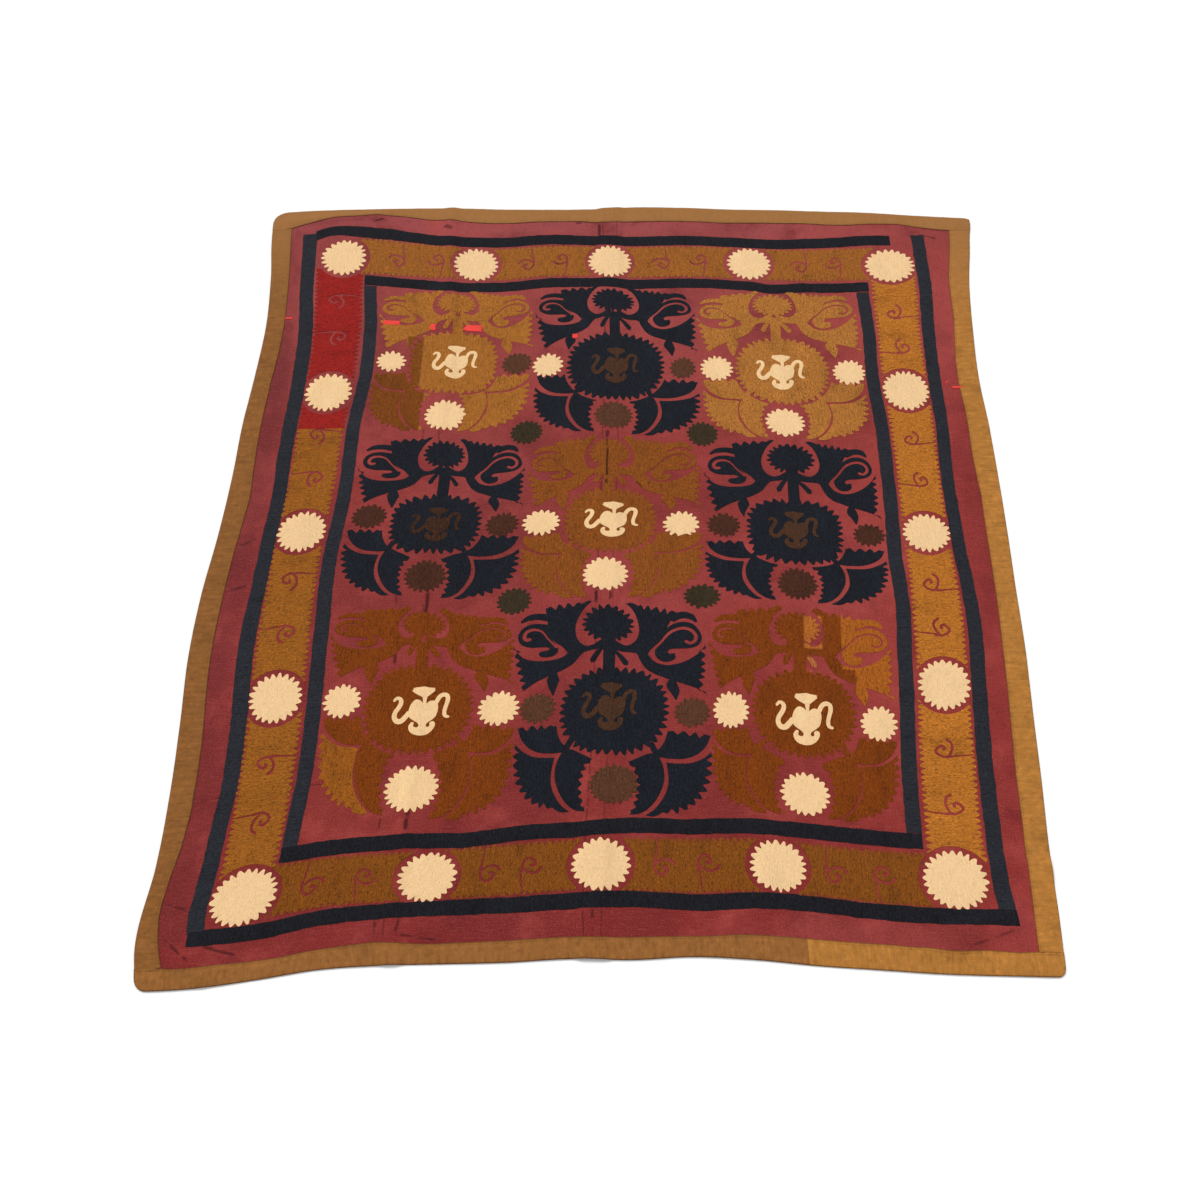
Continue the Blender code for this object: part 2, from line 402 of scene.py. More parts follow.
def area_of(points):
    """The area inside a closed outline, below 0 where it runs clockwise."""
    x, y = np.array(points, float).T
    return (x @ np.roll(y, -1) - y @ np.roll(x, -1)) / 2


def toothed(path, pitch, depth, turn, tooth, chance):
    """Teeth along a path whose tips reach it. Their depth dies out at both ends of the path."""
    path = smooth_line(path, 2.0)
    normals = normals_of(path) * turn
    lengths = lengths_along(path)
    total = lengths[-1]
    count = max(1, round(total / pitch))
    slip, depths, reaches = EDGE_UNEVEN
    shifts = [chance.uniform(-slip, slip) for _ in range(count + 1)]
    shifts[0] = shifts[-1] = 0.0
    points = []
    for number in range(count):
        deep = depth * chance.uniform(*depths)
        reach = chance.uniform(*reaches)
        for share, high in tooth:
            shift = shifts[number] * (1 - share) + shifts[number + 1] * share
            at = (number + share + shift) * total / count
            ending = min(1.0, (at + 1.5) / (0.7 * pitch), (total - at + 1.5) / (0.7 * pitch))
            place, normal = (np.array([np.interp(at, lengths, line[:, axis]) for axis in (0, 1)])
                             for line in (path, normals))
            points.append(place - normal * (deep * (1 - high) * ending - reach * high * ending))
    points.append(path[-1])
    return np.array(points)


def outline(runs, chance, grow=0.0, pitch=19.0, depth=12.0):
    """A closed outline from runs of points, some plain and some toothed, each up to the start of the next.

    `grow` moves its plain runs out, which narrows the gap that they face.
    """
    starts = [run[1] for run in runs]
    ends = starts[1:] + starts[:1]
    turn = math.copysign(1, area_of([point for run in runs for point in run[1:]]))
    parts = []
    for run, end in zip(runs, ends):
        path = list(run[1:]) + [end]
        if run[0] is TEETH:
            parts.append(toothed(path, pitch, depth, turn, FINGER, chance)[:-1])
        else:
            line = smooth_line(path)
            parts.append((line + normals_of(line) * turn * grow)[:-1])
    return np.vstack(parts)


def ribbon(points, widths, round_ends=True):
    """A band of thread along a smooth line, as wide as `widths` says from its start to its end."""
    path = smooth_line(points, 4.0)
    half = np.interp(np.linspace(0, 1, len(path)), np.linspace(0, 1, len(widths)), widths)[:, None] / 2
    normals = normals_of(path)
    right, left = path + normals * half, path - normals * half
    if not round_ends:
        return np.vstack([right, left[::-1]])
    way = np.column_stack([-normals[:, 1], normals[:, 0]])
    last, first = path[-1] + way[-1] * half[-1] * 0.9, path[0] - way[0] * half[0] * 0.9
    return np.vstack([right, last, left[::-1], first])


def squareness(across, along, power):
    """How far out a disc's edge is in a direction: 1 for a power of 2, more at a square's corners."""
    return (abs(across) ** power + abs(along) ** power) ** (-1 / power)


def scalloped(centre, semi, count, depth, chance, tooth=PETAL, power=2.0):
    """A round or squarish disc with `count` teeth round its edge."""
    points = []
    slip, depths, reaches = DISC_UNEVEN
    shifts = [chance.uniform(-slip, slip) for _ in range(count)]
    turned = chance.uniform(0, 1)
    for number in range(count):
        deep = depth * chance.uniform(*depths)
        reach = chance.uniform(*reaches)
        for share, high in tooth:
            shift = shifts[number] * (1 - share) + shifts[(number + 1) % count] * share
            angle = 2 * math.pi * (number + share + shift + turned) / count
            c, s = math.cos(angle), math.sin(angle)
            form = squareness(c, s, power)
            back = deep * (1 - high) - reach * high
            points.append((centre[0] + (semi[0] * form - back) * c, centre[1] + (semi[1] * form - back) * s))
    return np.array(points)


def oval(centre, semi, count, power=2.0):
    """A plain round or squarish outline of `count` points."""
    angles = np.linspace(0, 2 * np.pi, count, endpoint=False)
    across, along = np.cos(angles), np.sin(angles)
    form = squareness(across, along, power)
    return np.column_stack([centre[0] + semi[0] * form * across, centre[1] + semi[1] * form * along])


def held_by(shape, points):
    """Which of the points the closed shape holds."""
    held = np.zeros(len(points), bool)
    near = np.flatnonzero(((points > shape.min(0)) & (points < shape.max(0))).all(1))
    if len(near) == 0:
        return held
    x, y = points[near].T
    inside = np.zeros(len(near), bool)
    for (x1, y1), (x2, y2) in zip(shape, np.roll(shape, -1, 0)):
        if y1 != y2:
            inside ^= ((y1 > y) != (y2 > y)) & (x < (x2 - x1) * (y - y1) / (y2 - y1) + x1)
    held[near] = inside
    return held


class Drawing:
    """Shapes on the flat cloth, in millimetres, each filled with thread or cut out, in order."""

    def __init__(self):
        self.steps = []

    def fill(self, *shapes):
        self.steps += [(True, shape) for shape in shapes]

    def cut(self, *shapes):
        self.steps += [(False, shape) for shape in shapes]

    def placed(self, place):
        moved = Drawing()
        moved.steps = [(filled, place(shape)) for filled, shape in self.steps]
        return moved

    def covered(self, points):
        state = np.zeros(len(points), bool)
        for filled, shape in self.steps:
            state[held_by(shape, points)] = filled
        return state

    def add(self, other):
        self.steps += other.steps


FOLDS_ACROSS = (-16, -421)     # where the long folds run, in millimetres
FOLD_REACH = 48.0              # millimetres on each side of a long fold where the mesh is finer
FOLD_STEP, ROW_STEP, ROW_SLIP = 0.6, 0.9, 0.3     # shares of a cell: steps at a fold, rows, odd rows' shift
EDGE_CLEAR = 1.8               # millimetres that inner points keep from a shape's edge
MERGE_DISTANCE = 0.05
PAD_SUNK = 0.0002              # how far a pad's underside lies in what is under it
EDGE_SHARE = 0.67              # height of a pad's edge against its middle


def grid_points(low, high, cell):
    """Points over a box of the flat cloth, closer together on the long folds."""
    columns = []
    at = low[0]
    while at < high[0]:
        columns.append(at)
        beside = min(abs(at - fold) for fold in FOLDS_ACROSS)
        at += cell * (FOLD_STEP if beside < FOLD_REACH else 1.0)
    rows = np.arange(low[1], high[1], cell * ROW_STEP)
    x, y = np.meshgrid(columns, rows)
    x = x + (np.arange(len(rows)) % 2)[:, None] * cell * ROW_SLIP
    return np.column_stack([x.ravel(), y.ravel()])


def embroider(name, drawing, material, slot, rise, edge, base=GROUND_THICKNESS, cell=8.0):
    """A closed pad of thread over all that the drawing covers.

    It stands `rise` over `base` in its middle and `edge` at its edge. `cell` is in millimetres.
    """
    shapes = [shape for _, shape in drawing.steps]
    low = np.min([shape.min(0) for shape in shapes], axis=0)
    high = np.max([shape.max(0) for shape in shapes], axis=0)
    inner = grid_points(low, high, cell)
    clear = np.ones(len(inner), bool)
    for way in ((0, 0), (1, 0), (-1, 0), (0, 1), (0, -1)):
        clear &= drawing.covered(inner + np.array(way) * EDGE_CLEAR)
    inner = inner[clear]
    points, edges = [], []
    for shape in shapes:
        first = len(points)
        points += [Vector(point) for point in shape]
        edges += [(first + i, first + (i + 1) % len(shape)) for i in range(len(shape))]
    points += [Vector(point) for point in inner]
    found, _, triangles, *_ = delaunay_2d_cdt(points, edges, [], 0, MERGE_DISTANCE)
    found = np.array([tuple(point) for point in found])
    triangles = np.array(triangles)
    centres = found[triangles].mean(1)
    triangles = triangles[drawing.covered(centres)]
    turns = np.cross(found[triangles[:, 1]] - found[triangles[:, 0]],
                     found[triangles[:, 2]] - found[triangles[:, 0]])
    triangles[turns < 0] = triangles[turns < 0][:, ::-1]
    used, triangles = np.unique(triangles, return_inverse=True)
    triangles = triangles.reshape(-1, 3)
    flat = (found[used] + DESIGN_SHIFT) * MILLIMETRE
    count = len(flat)
    ways = np.vstack([triangles[:, [0, 1]], triangles[:, [1, 2]], triangles[:, [2, 0]]])
    present = set(map(tuple, ways.tolist()))
    rim = [way for way in map(tuple, ways.tolist()) if (way[1], way[0]) not in present]
    heights = np.full(count, base + rise)
    heights[np.unique(np.array(rim))] = base + edge
    top = laid(flat[:, 0], flat[:, 1], heights)
    bottom = laid(flat[:, 0], flat[:, 1], base - PAD_SUNK)
    faces = triangles.tolist() + (triangles[:, ::-1] + count).tolist()
    faces += [(a + count, b + count, b, a) for a, b in rim]
    return make_piece(name, np.vstack([top, bottom]), faces, np.vstack([flat, flat]), material)


# ---------------------------------------------------------------------------------------------
# Materials
# ---------------------------------------------------------------------------------------------

class Nodes:
    """Short names for the nodes of one material."""

    def __init__(self, name):
        self.material = bpy.data.materials.new(name)
        self.material.use_nodes = True
        self.tree = self.material.node_tree
        self.shader = self.tree.nodes["Principled BSDF"]
        self.flat = self.add("ShaderNodeUVMap", uv_map=CLOTH_MAP).outputs["UV"]
        parts = self.add("ShaderNodeSeparateXYZ")
        self.link(self.flat, parts.inputs[0])
        self.u, self.v = parts.outputs["X"], parts.outputs["Y"]

    def add(self, kind, **settings):
        node = self.tree.nodes.new(kind)
        for key, value in settings.items():
            setattr(node, key, value)
        return node

    def link(self, source, target):
        self.tree.links.new(source, target)

    def set(self, socket, value):
        if isinstance(value, bpy.types.NodeSocket):
            self.link(value, socket)
        elif isinstance(value, tuple) and len(value) == 3 and socket.type == "RGBA":
            socket.default_value = (*value, 1.0)
        else:
            socket.default_value = value

    def math(self, kind, *values, clamp=False):
        node = self.add("ShaderNodeMath", operation=kind, use_clamp=clamp)
        for socket, value in zip(node.inputs, values):
            self.set(socket, value)
        return node.outputs[0]

    def plus(self, first, *others):
        for other in others:
            first = self.math("ADD", first, other)
        return first

    def times(self, first, *others):
        for other in others:
            first = self.math("MULTIPLY", first, other)
        return first

    def minus(self, first, second):
        return self.math("SUBTRACT", first, second)

    def vector(self, x, y):
        node = self.add("ShaderNodeCombineXYZ")
        for socket, value in zip(node.inputs, (x, y)):
            self.set(socket, value)
        return node.outputs[0]

    def drawn_out(self, narrow, wide, times, scale, detail, rough):
        """Noise whose patches are narrow one way and long the other."""
        return self.noise(self.vector(self.times(narrow, times), wide), scale, detail, rough)

    def noise(self, place, scale, detail=2.0, rough=0.5):
        node = self.add("ShaderNodeTexNoise")
        self.link(place, node.inputs["Vector"])
        node.inputs["Scale"].default_value = scale
        node.inputs["Detail"].default_value = detail
        node.inputs["Roughness"].default_value = rough
        return node.outputs["Fac"]

    def range(self, value, low, high, to_low=0.0, to_high=1.0):
        node = self.add("ShaderNodeMapRange", interpolation_type="SMOOTHSTEP")
        for socket, setting in zip(node.inputs, (value, low, high, to_low, to_high)):
            self.set(socket, setting)
        return node.outputs[0]

    def mix(self, factor, first, second, kind="MIX"):
        node = self.add("ShaderNodeMix", data_type="RGBA", blend_type=kind)
        for socket, value in zip((node.inputs[0], node.inputs[6], node.inputs[7]), (factor, first, second)):
            self.set(socket, value)
        return node.outputs[2]

    def tinted(self, tone, steps):
        """The tone mixed step by step: a pattern, its values at no and at full share, the share and a dye."""
        for pattern, start, full, share, colour in steps:
            tone = self.mix(self.range(pattern, start, full, 0.0, share), tone, colour)
        return tone

    def wave(self, place, pitch):
        """A ridge of height 0 to 1 every `pitch` metres."""
        turned = self.math("SINE", self.times(place, 2 * math.pi / pitch))
        return self.math("MULTIPLY_ADD", turned, 0.5, 0.5)

    def bump(self, height, distance, strength):
        node = self.add("ShaderNodeBump")
        node.inputs["Strength"].default_value = strength
        node.inputs["Distance"].default_value = distance
        self.link(height, node.inputs["Height"])
        self.link(node.outputs[0], self.shader.inputs["Normal"])

    def finish(self, colour, roughness, sheen, sheen_tint=(1.0, 0.9, 0.8)):
        self.link(colour, self.shader.inputs["Base Color"])
        self.shader.inputs["Roughness"].default_value = roughness
        self.shader.inputs["Sheen Weight"].default_value = sheen
        self.shader.inputs["Sheen Roughness"].default_value = 0.5
        self.shader.inputs["Sheen Tint"].default_value = (*sheen_tint, 1.0)
        self.shader.inputs["Specular IOR Level"].default_value = 0.08
        return self.material


def in_box(nodes, box, soft=0.003):
    """1 within a box of the flat cloth (low across, high across, low along, high along), else 0."""
    inside = []
    for place, low, high in ((nodes.u, *box[:2]), (nodes.v, *box[2:])):
        inside.append(nodes.range(place, low - soft, low + soft))
        inside.append(nodes.range(place, high - soft, high + soft, 1.0, 0.0))
    return nodes.times(*inside)


def scaled(colour, share):
    """The colour made lighter or darker by a share of itself."""
    return tuple(min(1.0, part * share) for part in colour)


def couched_thread(name, colour, across_cloth=False, patches=(), shade=1.0, highlight_and_tone=None, fold_shades=()):
    """Long laid threads tied down by slanting stitches, with streaks partly of their own dye and partly of
    painted glint.

    The threads run along the cloth, or across it. Each patch is a box and its colour. `shade` says how
    dark the painted shade in the gaps between the threads is. The lighter streaks are partly the
    thread's own lighter tone and partly painted glint, in white or in a colour given for them. Painted
    shade also darkens the ties and any fold creases given.
    """
    nodes = Nodes(name)
    side, run = (nodes.v, nodes.u) if across_cloth else (nodes.u, nodes.v)
    drift = nodes.math("MULTIPLY_ADD", nodes.noise(nodes.flat, 60.0), 0.0012, side)
    ridges = nodes.wave(drift, THREAD_PITCH)
    slant = nodes.math("MULTIPLY_ADD", side, 1.1, run)
    ties = nodes.math("POWER", nodes.wave(slant, TIE_PITCH), 5.0)
    streaks = nodes.drawn_out(side, run, 7.0, 40.0, 2.0, 0.7)
    fine = nodes.drawn_out(side, run, 2.5, 160.0, 2.0, 0.8)
    lots = nodes.drawn_out(side, run, 3.0, 6.0, 3.0, 0.6)
    base = colour
    for box, other in patches:
        base = nodes.mix(in_box(nodes, box), base, other)
    # Lighter streaks: partly the thread's own lighter tone, partly painted glint
    light = nodes.plus(
        nodes.range(streaks, 0.50, 0.70, 0.0, 0.15 * shade),
        nodes.range(lots, 0.52, 0.75, 0.0, 0.10),
        nodes.range(fine, 0.50, 0.70, 0.0, 0.30 * shade),
    )
    if highlight_and_tone is None:
        tone = nodes.mix(light, base, (1.0, 1.0, 1.0), "DODGE")
    else:
        tone = nodes.mix(nodes.math("MULTIPLY", light, HIGHLIGHT_SHARE, clamp=True), base, highlight_and_tone)
    # Painted shade in the gaps between the threads
    gaps = nodes.times(nodes.minus(1.0, ridges), 0.30 * shade)
    # Painted shade at the ties, in the gaps and in fold creases, with darker streaks of the thread's own tone
    dark = nodes.plus(
        nodes.math("MULTIPLY_ADD", ties, 0.18 * shade, gaps),
        nodes.range(fine, 0.52, 0.30, 0.0, 0.40 * shade),
        nodes.range(streaks, 0.50, 0.30, 0.0, 0.24 * shade),
        nodes.range(lots, 0.48, 0.25, 0.0, 0.18 * shade),
        *(crease_shade(nodes, crease) for crease in fold_shades),
    )
    tone = nodes.mix(nodes.math("MINIMUM", dark, DARKEST), tone, (0.0, 0.0, 0.0))
    height = nodes.plus(nodes.math("MULTIPLY_ADD", ties, -0.8, ridges), nodes.times(streaks, 1.4))
    nodes.bump(height, 0.00035, 0.8)
    return nodes.finish(tone, 0.66, 0.06, colour)


THREAD_PITCH = 0.00115
TIE_PITCH = 0.0058
HIGHLIGHT_SHARE = 2.4     # how much of the streak colour, partly tone and partly painted glint, the lighter streaks take
# The most that painted shade and the darker streaks darken a thread
DARKEST = 0.85
GROUND_YARN, BINDING_YARN = 0.0007, 0.0011     # spacing of the yarns in each weave

# Painted shade in creases on the bare ground: from across, along, to across, along, width, depth
CREASE_SHADES = (
    (-0.034, -1.000, -0.034, 1.000, 0.0018, 0.50),
    (0.002, -1.000, 0.002, 1.000, 0.0018, 0.42),
    (-0.023, 0.240, -0.023, 0.272, 0.0050, 0.75),
    (-0.423, -0.960, -0.421, -0.720, 0.0022, 0.45),
    (-0.412, -0.220, -0.418, -0.190, 0.0022, 0.45),
    (-0.425, 0.220, -0.428, 0.290, 0.0022, 0.45),
    (-0.408, -0.225, -0.406, -0.160, 0.0048, 0.80),
    (-0.035, -0.222, -0.035, -0.170, 0.0046, 0.80),
    (-0.004, -0.222, -0.003, -0.180, 0.0036, 0.70),
    (-0.474, -0.200, -0.476, -0.165, 0.0022, 0.50),
    (-0.405, -0.728, -0.405, -0.675, 0.0048, 0.80),
    (-0.462, -0.728, -0.460, -0.690, 0.0026, 0.50),
    (-0.467, -0.346, -0.469, -0.310, 0.0044, 0.70),
    (-0.464, 0.255, -0.466, 0.292, 0.0024, 0.45),
    (-0.847, -0.617, -0.590, -0.609, 0.0016, 0.55),
    (-0.647, 0.943, -0.613, 0.962, 0.0040, 0.80),
    (-0.467, 0.955, -0.430, 0.940, 0.0080, 0.60),
    (-0.113, 0.958, -0.060, 0.968, 0.0030, 0.65),
    (-0.043, 0.905, -0.045, 0.962, 0.0044, 0.80),
    (0.040, 0.962, 0.125, 0.966, 0.0024, 0.55),
    (0.565, 0.967, 0.608, 0.962, 0.0026, 0.60),
    (0.785, 0.930, 0.835, 0.905, 0.0036, 0.60),
    (-0.850, -0.905, -0.793, -0.957, 0.0030, 0.65),
    (-0.852, -0.030, -0.812, -0.008, 0.0036, 0.45),
    (-0.852, -0.140, -0.812, -0.128, 0.0044, 0.50),
    (-0.775, -0.926, -0.680, -0.963, 0.0034, 0.65),
    (-0.862, -0.832, -0.815, -0.850, 0.0026, 0.55),
    (-0.441, -0.920, -0.440, -0.955, 0.0036, 0.60),
    (-0.391, -0.920, -0.401, -0.953, 0.0034, 0.60),
    (-0.393, -0.953, -0.318, -0.967, 0.0028, 0.60),
    (-0.013, -0.920, -0.015, -0.967, 0.0034, 0.70),
    (0.715, -0.957, 0.800, -0.925, 0.0030, 0.40),
)
# Where the ground is duller: box, softness of its edge, share
DULL_PLACES = (
    ((-0.46, -0.12, -0.15, 0.30), 0.09, 0.45),
    ((-0.92, -0.815, -0.92, 0.75), 0.02, 0.40),
    ((-0.92, -0.815, -0.10, 0.90), 0.03, 0.32),
    ((-0.66, -0.56, 0.28, 0.76), 0.05, 0.36),
    ((0.36, 0.74, -0.98, -0.91), 0.03, 0.42),
)
# Painted shade in the centre's folds, which cross the middle medallion
MIDDLE_FOLD_SHADES = (
    (-0.022, 0.105, -0.022, 0.262, 0.0030, 0.60),
    (0.045, 0.125, 0.068, 0.093, 0.0022, 0.55),
    (0.065, 0.095, 0.108, 0.070, 0.0016, 0.45),
    (0.105, 0.072, 0.195, 0.043, 0.0014, 0.35),
)


def woven_ground():
    """Fine plain-woven burgundy cotton, blotched and rubbed, with painted sheen toward the top, painted shade
    toward the bottom and painted shade along its fold lines.
    """
    nodes = Nodes("ground_weave")
    u, v = nodes.u, nodes.v
    colours = bpy.context.scene.cover_colours
    weave = nodes.times(nodes.wave(u, GROUND_YARN), nodes.wave(v, GROUND_YARN))
    slubs = nodes.drawn_out(u, v, 16.0, 30.0, 2.0, 0.6)
    wefts = nodes.noise(nodes.vector(u, nodes.times(v, 16.0)), 30.0, 2.0, 0.6)
    blotches = nodes.noise(nodes.flat, 9.0, 5.0, 0.65)
    patches = nodes.noise(nodes.flat, 2.6, 3.0, 0.5)
    specks = nodes.noise(nodes.flat, 320.0, 2.0, 0.8)
    in_field = nodes.times(
        nodes.range(nodes.math("ABSOLUTE", u), 0.625, 0.645, 1.0, 0.0),
        nodes.range(nodes.math("ABSOLUTE", v), 0.735, 0.752, 1.0, 0.0),
    )
    tone = nodes.mix(in_field, tuple(colours.ground), tuple(colours.field))
    # Painted sheen: lighter and pinker toward the top, most in the top margin. Painted shade: darker and
    # redder toward the bottom. Lighter on the right.
    tone = nodes.tinted(tone, (
        (v, 0.85, 0.95, 0.7, tuple(colours.top_margin_sheen)),
        (v, 0.10, 0.75, 0.45, dye(163, 80, 78)),
        (v, -0.15, -0.85, 0.55, dye(122, 34, 30)),
        (u, 0.40, 0.62, 0.30, dye(160, 60, 52)),
    ))
    for box, soft, share in DULL_PLACES:
        tone = nodes.mix(nodes.times(in_box(nodes, box, soft), share), tone, dye(96, 38, 38))
    tone = nodes.tinted(tone, (
        (patches, 0.50, 0.66, 0.35, dye(166, 72, 70)),
        (patches, 0.50, 0.34, 0.45, dye(106, 36, 36)),
        (blotches, 0.50, 0.72, 0.45, dye(172, 72, 66)),
        (blotches, 0.50, 0.28, 0.60, dye(100, 28, 32)),
        (slubs, 0.50, 0.25, 0.40, dye(92, 24, 30)),
        (wefts, 0.50, 0.75, 0.22, dye(182, 92, 88)),
        (specks, 0.50, 0.75, 0.40, dye(182, 92, 86)),
        (specks, 0.50, 0.25, 0.55, dye(84, 24, 28)),
    ))
    # Painted shade in the creases
    for crease in CREASE_SHADES:
        tone = nodes.mix(crease_shade(nodes, crease), tone, dye(52, 14, 18))
    nodes.bump(nodes.plus(weave, nodes.plus(slubs, wefts)), 0.00018, 0.6)
    return nodes.finish(tone, 0.75, 0.05, (0.8, 0.3, 0.3))


def crease_shade(nodes, crease):
    """How dark the painted shade in a crease between two places is, with a ragged edge and gaps."""
    u1, v1, u2, v2, width, depth = crease
    run = math.dist((u1, v1), (u2, v2))
    way_u, way_v = (u2 - u1) / run, (v2 - v1) / run
    from_u, from_v = nodes.minus(nodes.u, u1), nodes.minus(nodes.v, v1)
    off = nodes.minus(nodes.times(from_u, way_v), nodes.times(from_v, way_u))
    along = nodes.plus(nodes.times(from_u, way_u), nodes.times(from_v, way_v))
    wobble = nodes.math("MULTIPLY_ADD", nodes.noise(nodes.flat, 22.0), 0.008, -0.004)
    off = nodes.math("ABSOLUTE", nodes.plus(off, wobble))
    line = nodes.range(off, width * 0.4, width * 1.3, depth, 0.0)
    ends = nodes.times(nodes.range(along, 0.0, 0.01), nodes.range(along, run - 0.01, run, 1.0, 0.0))
    gaps = nodes.range(nodes.noise(nodes.flat, 35.0), 0.35, 0.5)
    return nodes.times(line, ends, gaps)


def binding_weave(name, colour, gathered_across):
    """Coarse plain-woven cotton, mottled, with painted highlight and shade on its gathers, painted shade
    between its yarns, and a dark line of painted shade at its seam and along its fold.
    """
    nodes = Nodes(name)
    # Lighter and darker colours: the cloth's own mottled tone, and painted highlight and shade on its gathers
    highlight_and_tone, deep = scaled(colour, 1.45), scaled(colour, 0.6)
    weave = nodes.times(nodes.wave(nodes.u, BINDING_YARN), nodes.wave(nodes.v, BINDING_YARN))
    mottle = nodes.noise(nodes.flat, 85.0, 4.0, 0.7)
    blotches = nodes.noise(nodes.flat, 14.0, 3.0, 0.6)
    run, side = (nodes.u, nodes.v) if gathered_across else (nodes.v, nodes.u)
    gathers = nodes.drawn_out(run, side, 5.0, 24.0, 3.0, 0.6)
    tone = nodes.tinted(colour, (
        (mottle, 0.50, 0.75, 0.80, highlight_and_tone),
        (gathers, 0.50, 0.72, 0.45, highlight_and_tone),
        (gathers, 0.48, 0.28, 0.60, deep),
        (mottle, 0.48, 0.25, 0.80, deep),
        (blotches, 0.45, 0.25, 0.50, deep),
        (blotches, 0.55, 0.75, 0.40, highlight_and_tone),
        (nodes.v, 0.55, 0.97, 0.75, dye(168, 116, 66)),
    ))
    # Painted shade: a dark line along the fold at the hem, and at the seam under the strip's lip
    from_side = nodes.minus(HALF_WIDTH, nodes.math("ABSOLUTE", nodes.u))
    from_end = nodes.minus(HALF_LENGTH, nodes.math("ABSOLUTE", nodes.v))
    inset = nodes.math("MINIMUM", from_side, from_end)
    fold = nodes.range(inset, 0.0006, 0.0026, 0.55, 0.0)
    seam = nodes.range(inset, BINDING_WIDTH - 0.0006, BINDING_WIDTH + 0.0014, 0.0, 0.6)
    tone = nodes.mix(nodes.math("MAXIMUM", fold, seam), tone, dye(66, 38, 22))
    # Painted shade between the yarns
    tone = nodes.mix(nodes.times(nodes.minus(1.0, weave), 0.22), tone, (0.02, 0.01, 0.0))
    height = nodes.plus(weave, nodes.times(mottle, 1.6), nodes.times(gathers, 6.0))
    nodes.bump(height, 0.00030, 0.7)
    return nodes.finish(tone, 0.85, 0.04)


# ---------------------------------------------------------------------------------------------
# What a user would change
# ---------------------------------------------------------------------------------------------

def colour_property(name, description, shown):
    return FloatVectorProperty(name=name, description=description, subtype="COLOR", size=3,
                               min=0.0, max=1.0, default=dye(*shown))


class CoverSizes(bpy.types.PropertyGroup):
    """Sizes of the cloth, the thread and the seams."""

    ground_cell: FloatProperty(name="Ground cell", description="Widest step of the ground cloth's mesh",
                               default=0.0105, unit="LENGTH")
    thread_rise: FloatProperty(name="Thread rise", description="How far the embroidery stands off the ground",
                               default=0.0009, unit="LENGTH")
    ewer_rise: FloatProperty(name="Ewer rise", description="How far the ewers stand off their discs",
                             default=0.0005, unit="LENGTH")
    binding_rise: FloatProperty(name="Binding rise", description="Height of the folded binding strip",
                                default=0.0031, unit="LENGTH")
    stitch_length: FloatProperty(name="Stitch length", description="Length of a stitch in the binding's seam",
                                 default=0.0044, unit="LENGTH")
    chance: IntProperty(name="Chance", description="Seed of the small unevenness of hand work", default=4)


class CoverColours(bpy.types.PropertyGroup):
    """Dyes of the cloths and threads."""

    ground: colour_property("Ground", "Burgundy of the border and the margins", (128, 42, 42))
    field: colour_property("Field", "Burgundy of the ground between the medallions", (139, 52, 49))
    # Painted sheen: the top margin's burgundy is lighter and pinker than the rest of the ground
    top_margin_sheen: colour_property("Top margin", "Faded burgundy above the top band", (141, 66, 70))
    ochre: colour_property("Ochre thread", "Ochre thread of the top border", (170, 102, 38))
    black: colour_property("Black thread", "Blue-black thread", (28, 36, 44))
    cream: colour_property("Cream thread", "Cream thread of the rosettes and ewers", (250, 209, 156))
    brown: colour_property("Brown thread", "Dark brown thread of some rosettes", (97, 60, 40))
    green: colour_property("Green thread", "Olive-green thread of four rosettes", (62, 50, 32))
    red: colour_property("Red thread", "Bright red thread of the left border", (166, 34, 28))
    coral: colour_property("Coral thread", "Coral thread of the mending", (255, 76, 70))
    binding_brown: colour_property("Brown binding", "Binding of the left side", (146, 95, 48))
    binding_gold: colour_property("Golden binding", "Binding of the right side", (185, 124, 57))


class StageSettings(bpy.types.PropertyGroup):
    """The floor, the light and the camera."""

    lens: FloatProperty(name="Lens", description="Focal length of the camera", default=CAMERA_LENS,
                        unit="CAMERA")
    floor_size: FloatProperty(name="Floor size", description="Width of the floor", default=40.0,
                              unit="LENGTH")
    floor: colour_property("Floor", "Colour of the floor", (250, 250, 250))
    key: FloatProperty(name="Key light", description="Strength of the soft light from above", default=2.1)
    fill: FloatProperty(name="Fill light", description="Strength of the light from all round", default=0.62)


# ---------------------------------------------------------------------------------------------
# Stage
# ---------------------------------------------------------------------------------------------

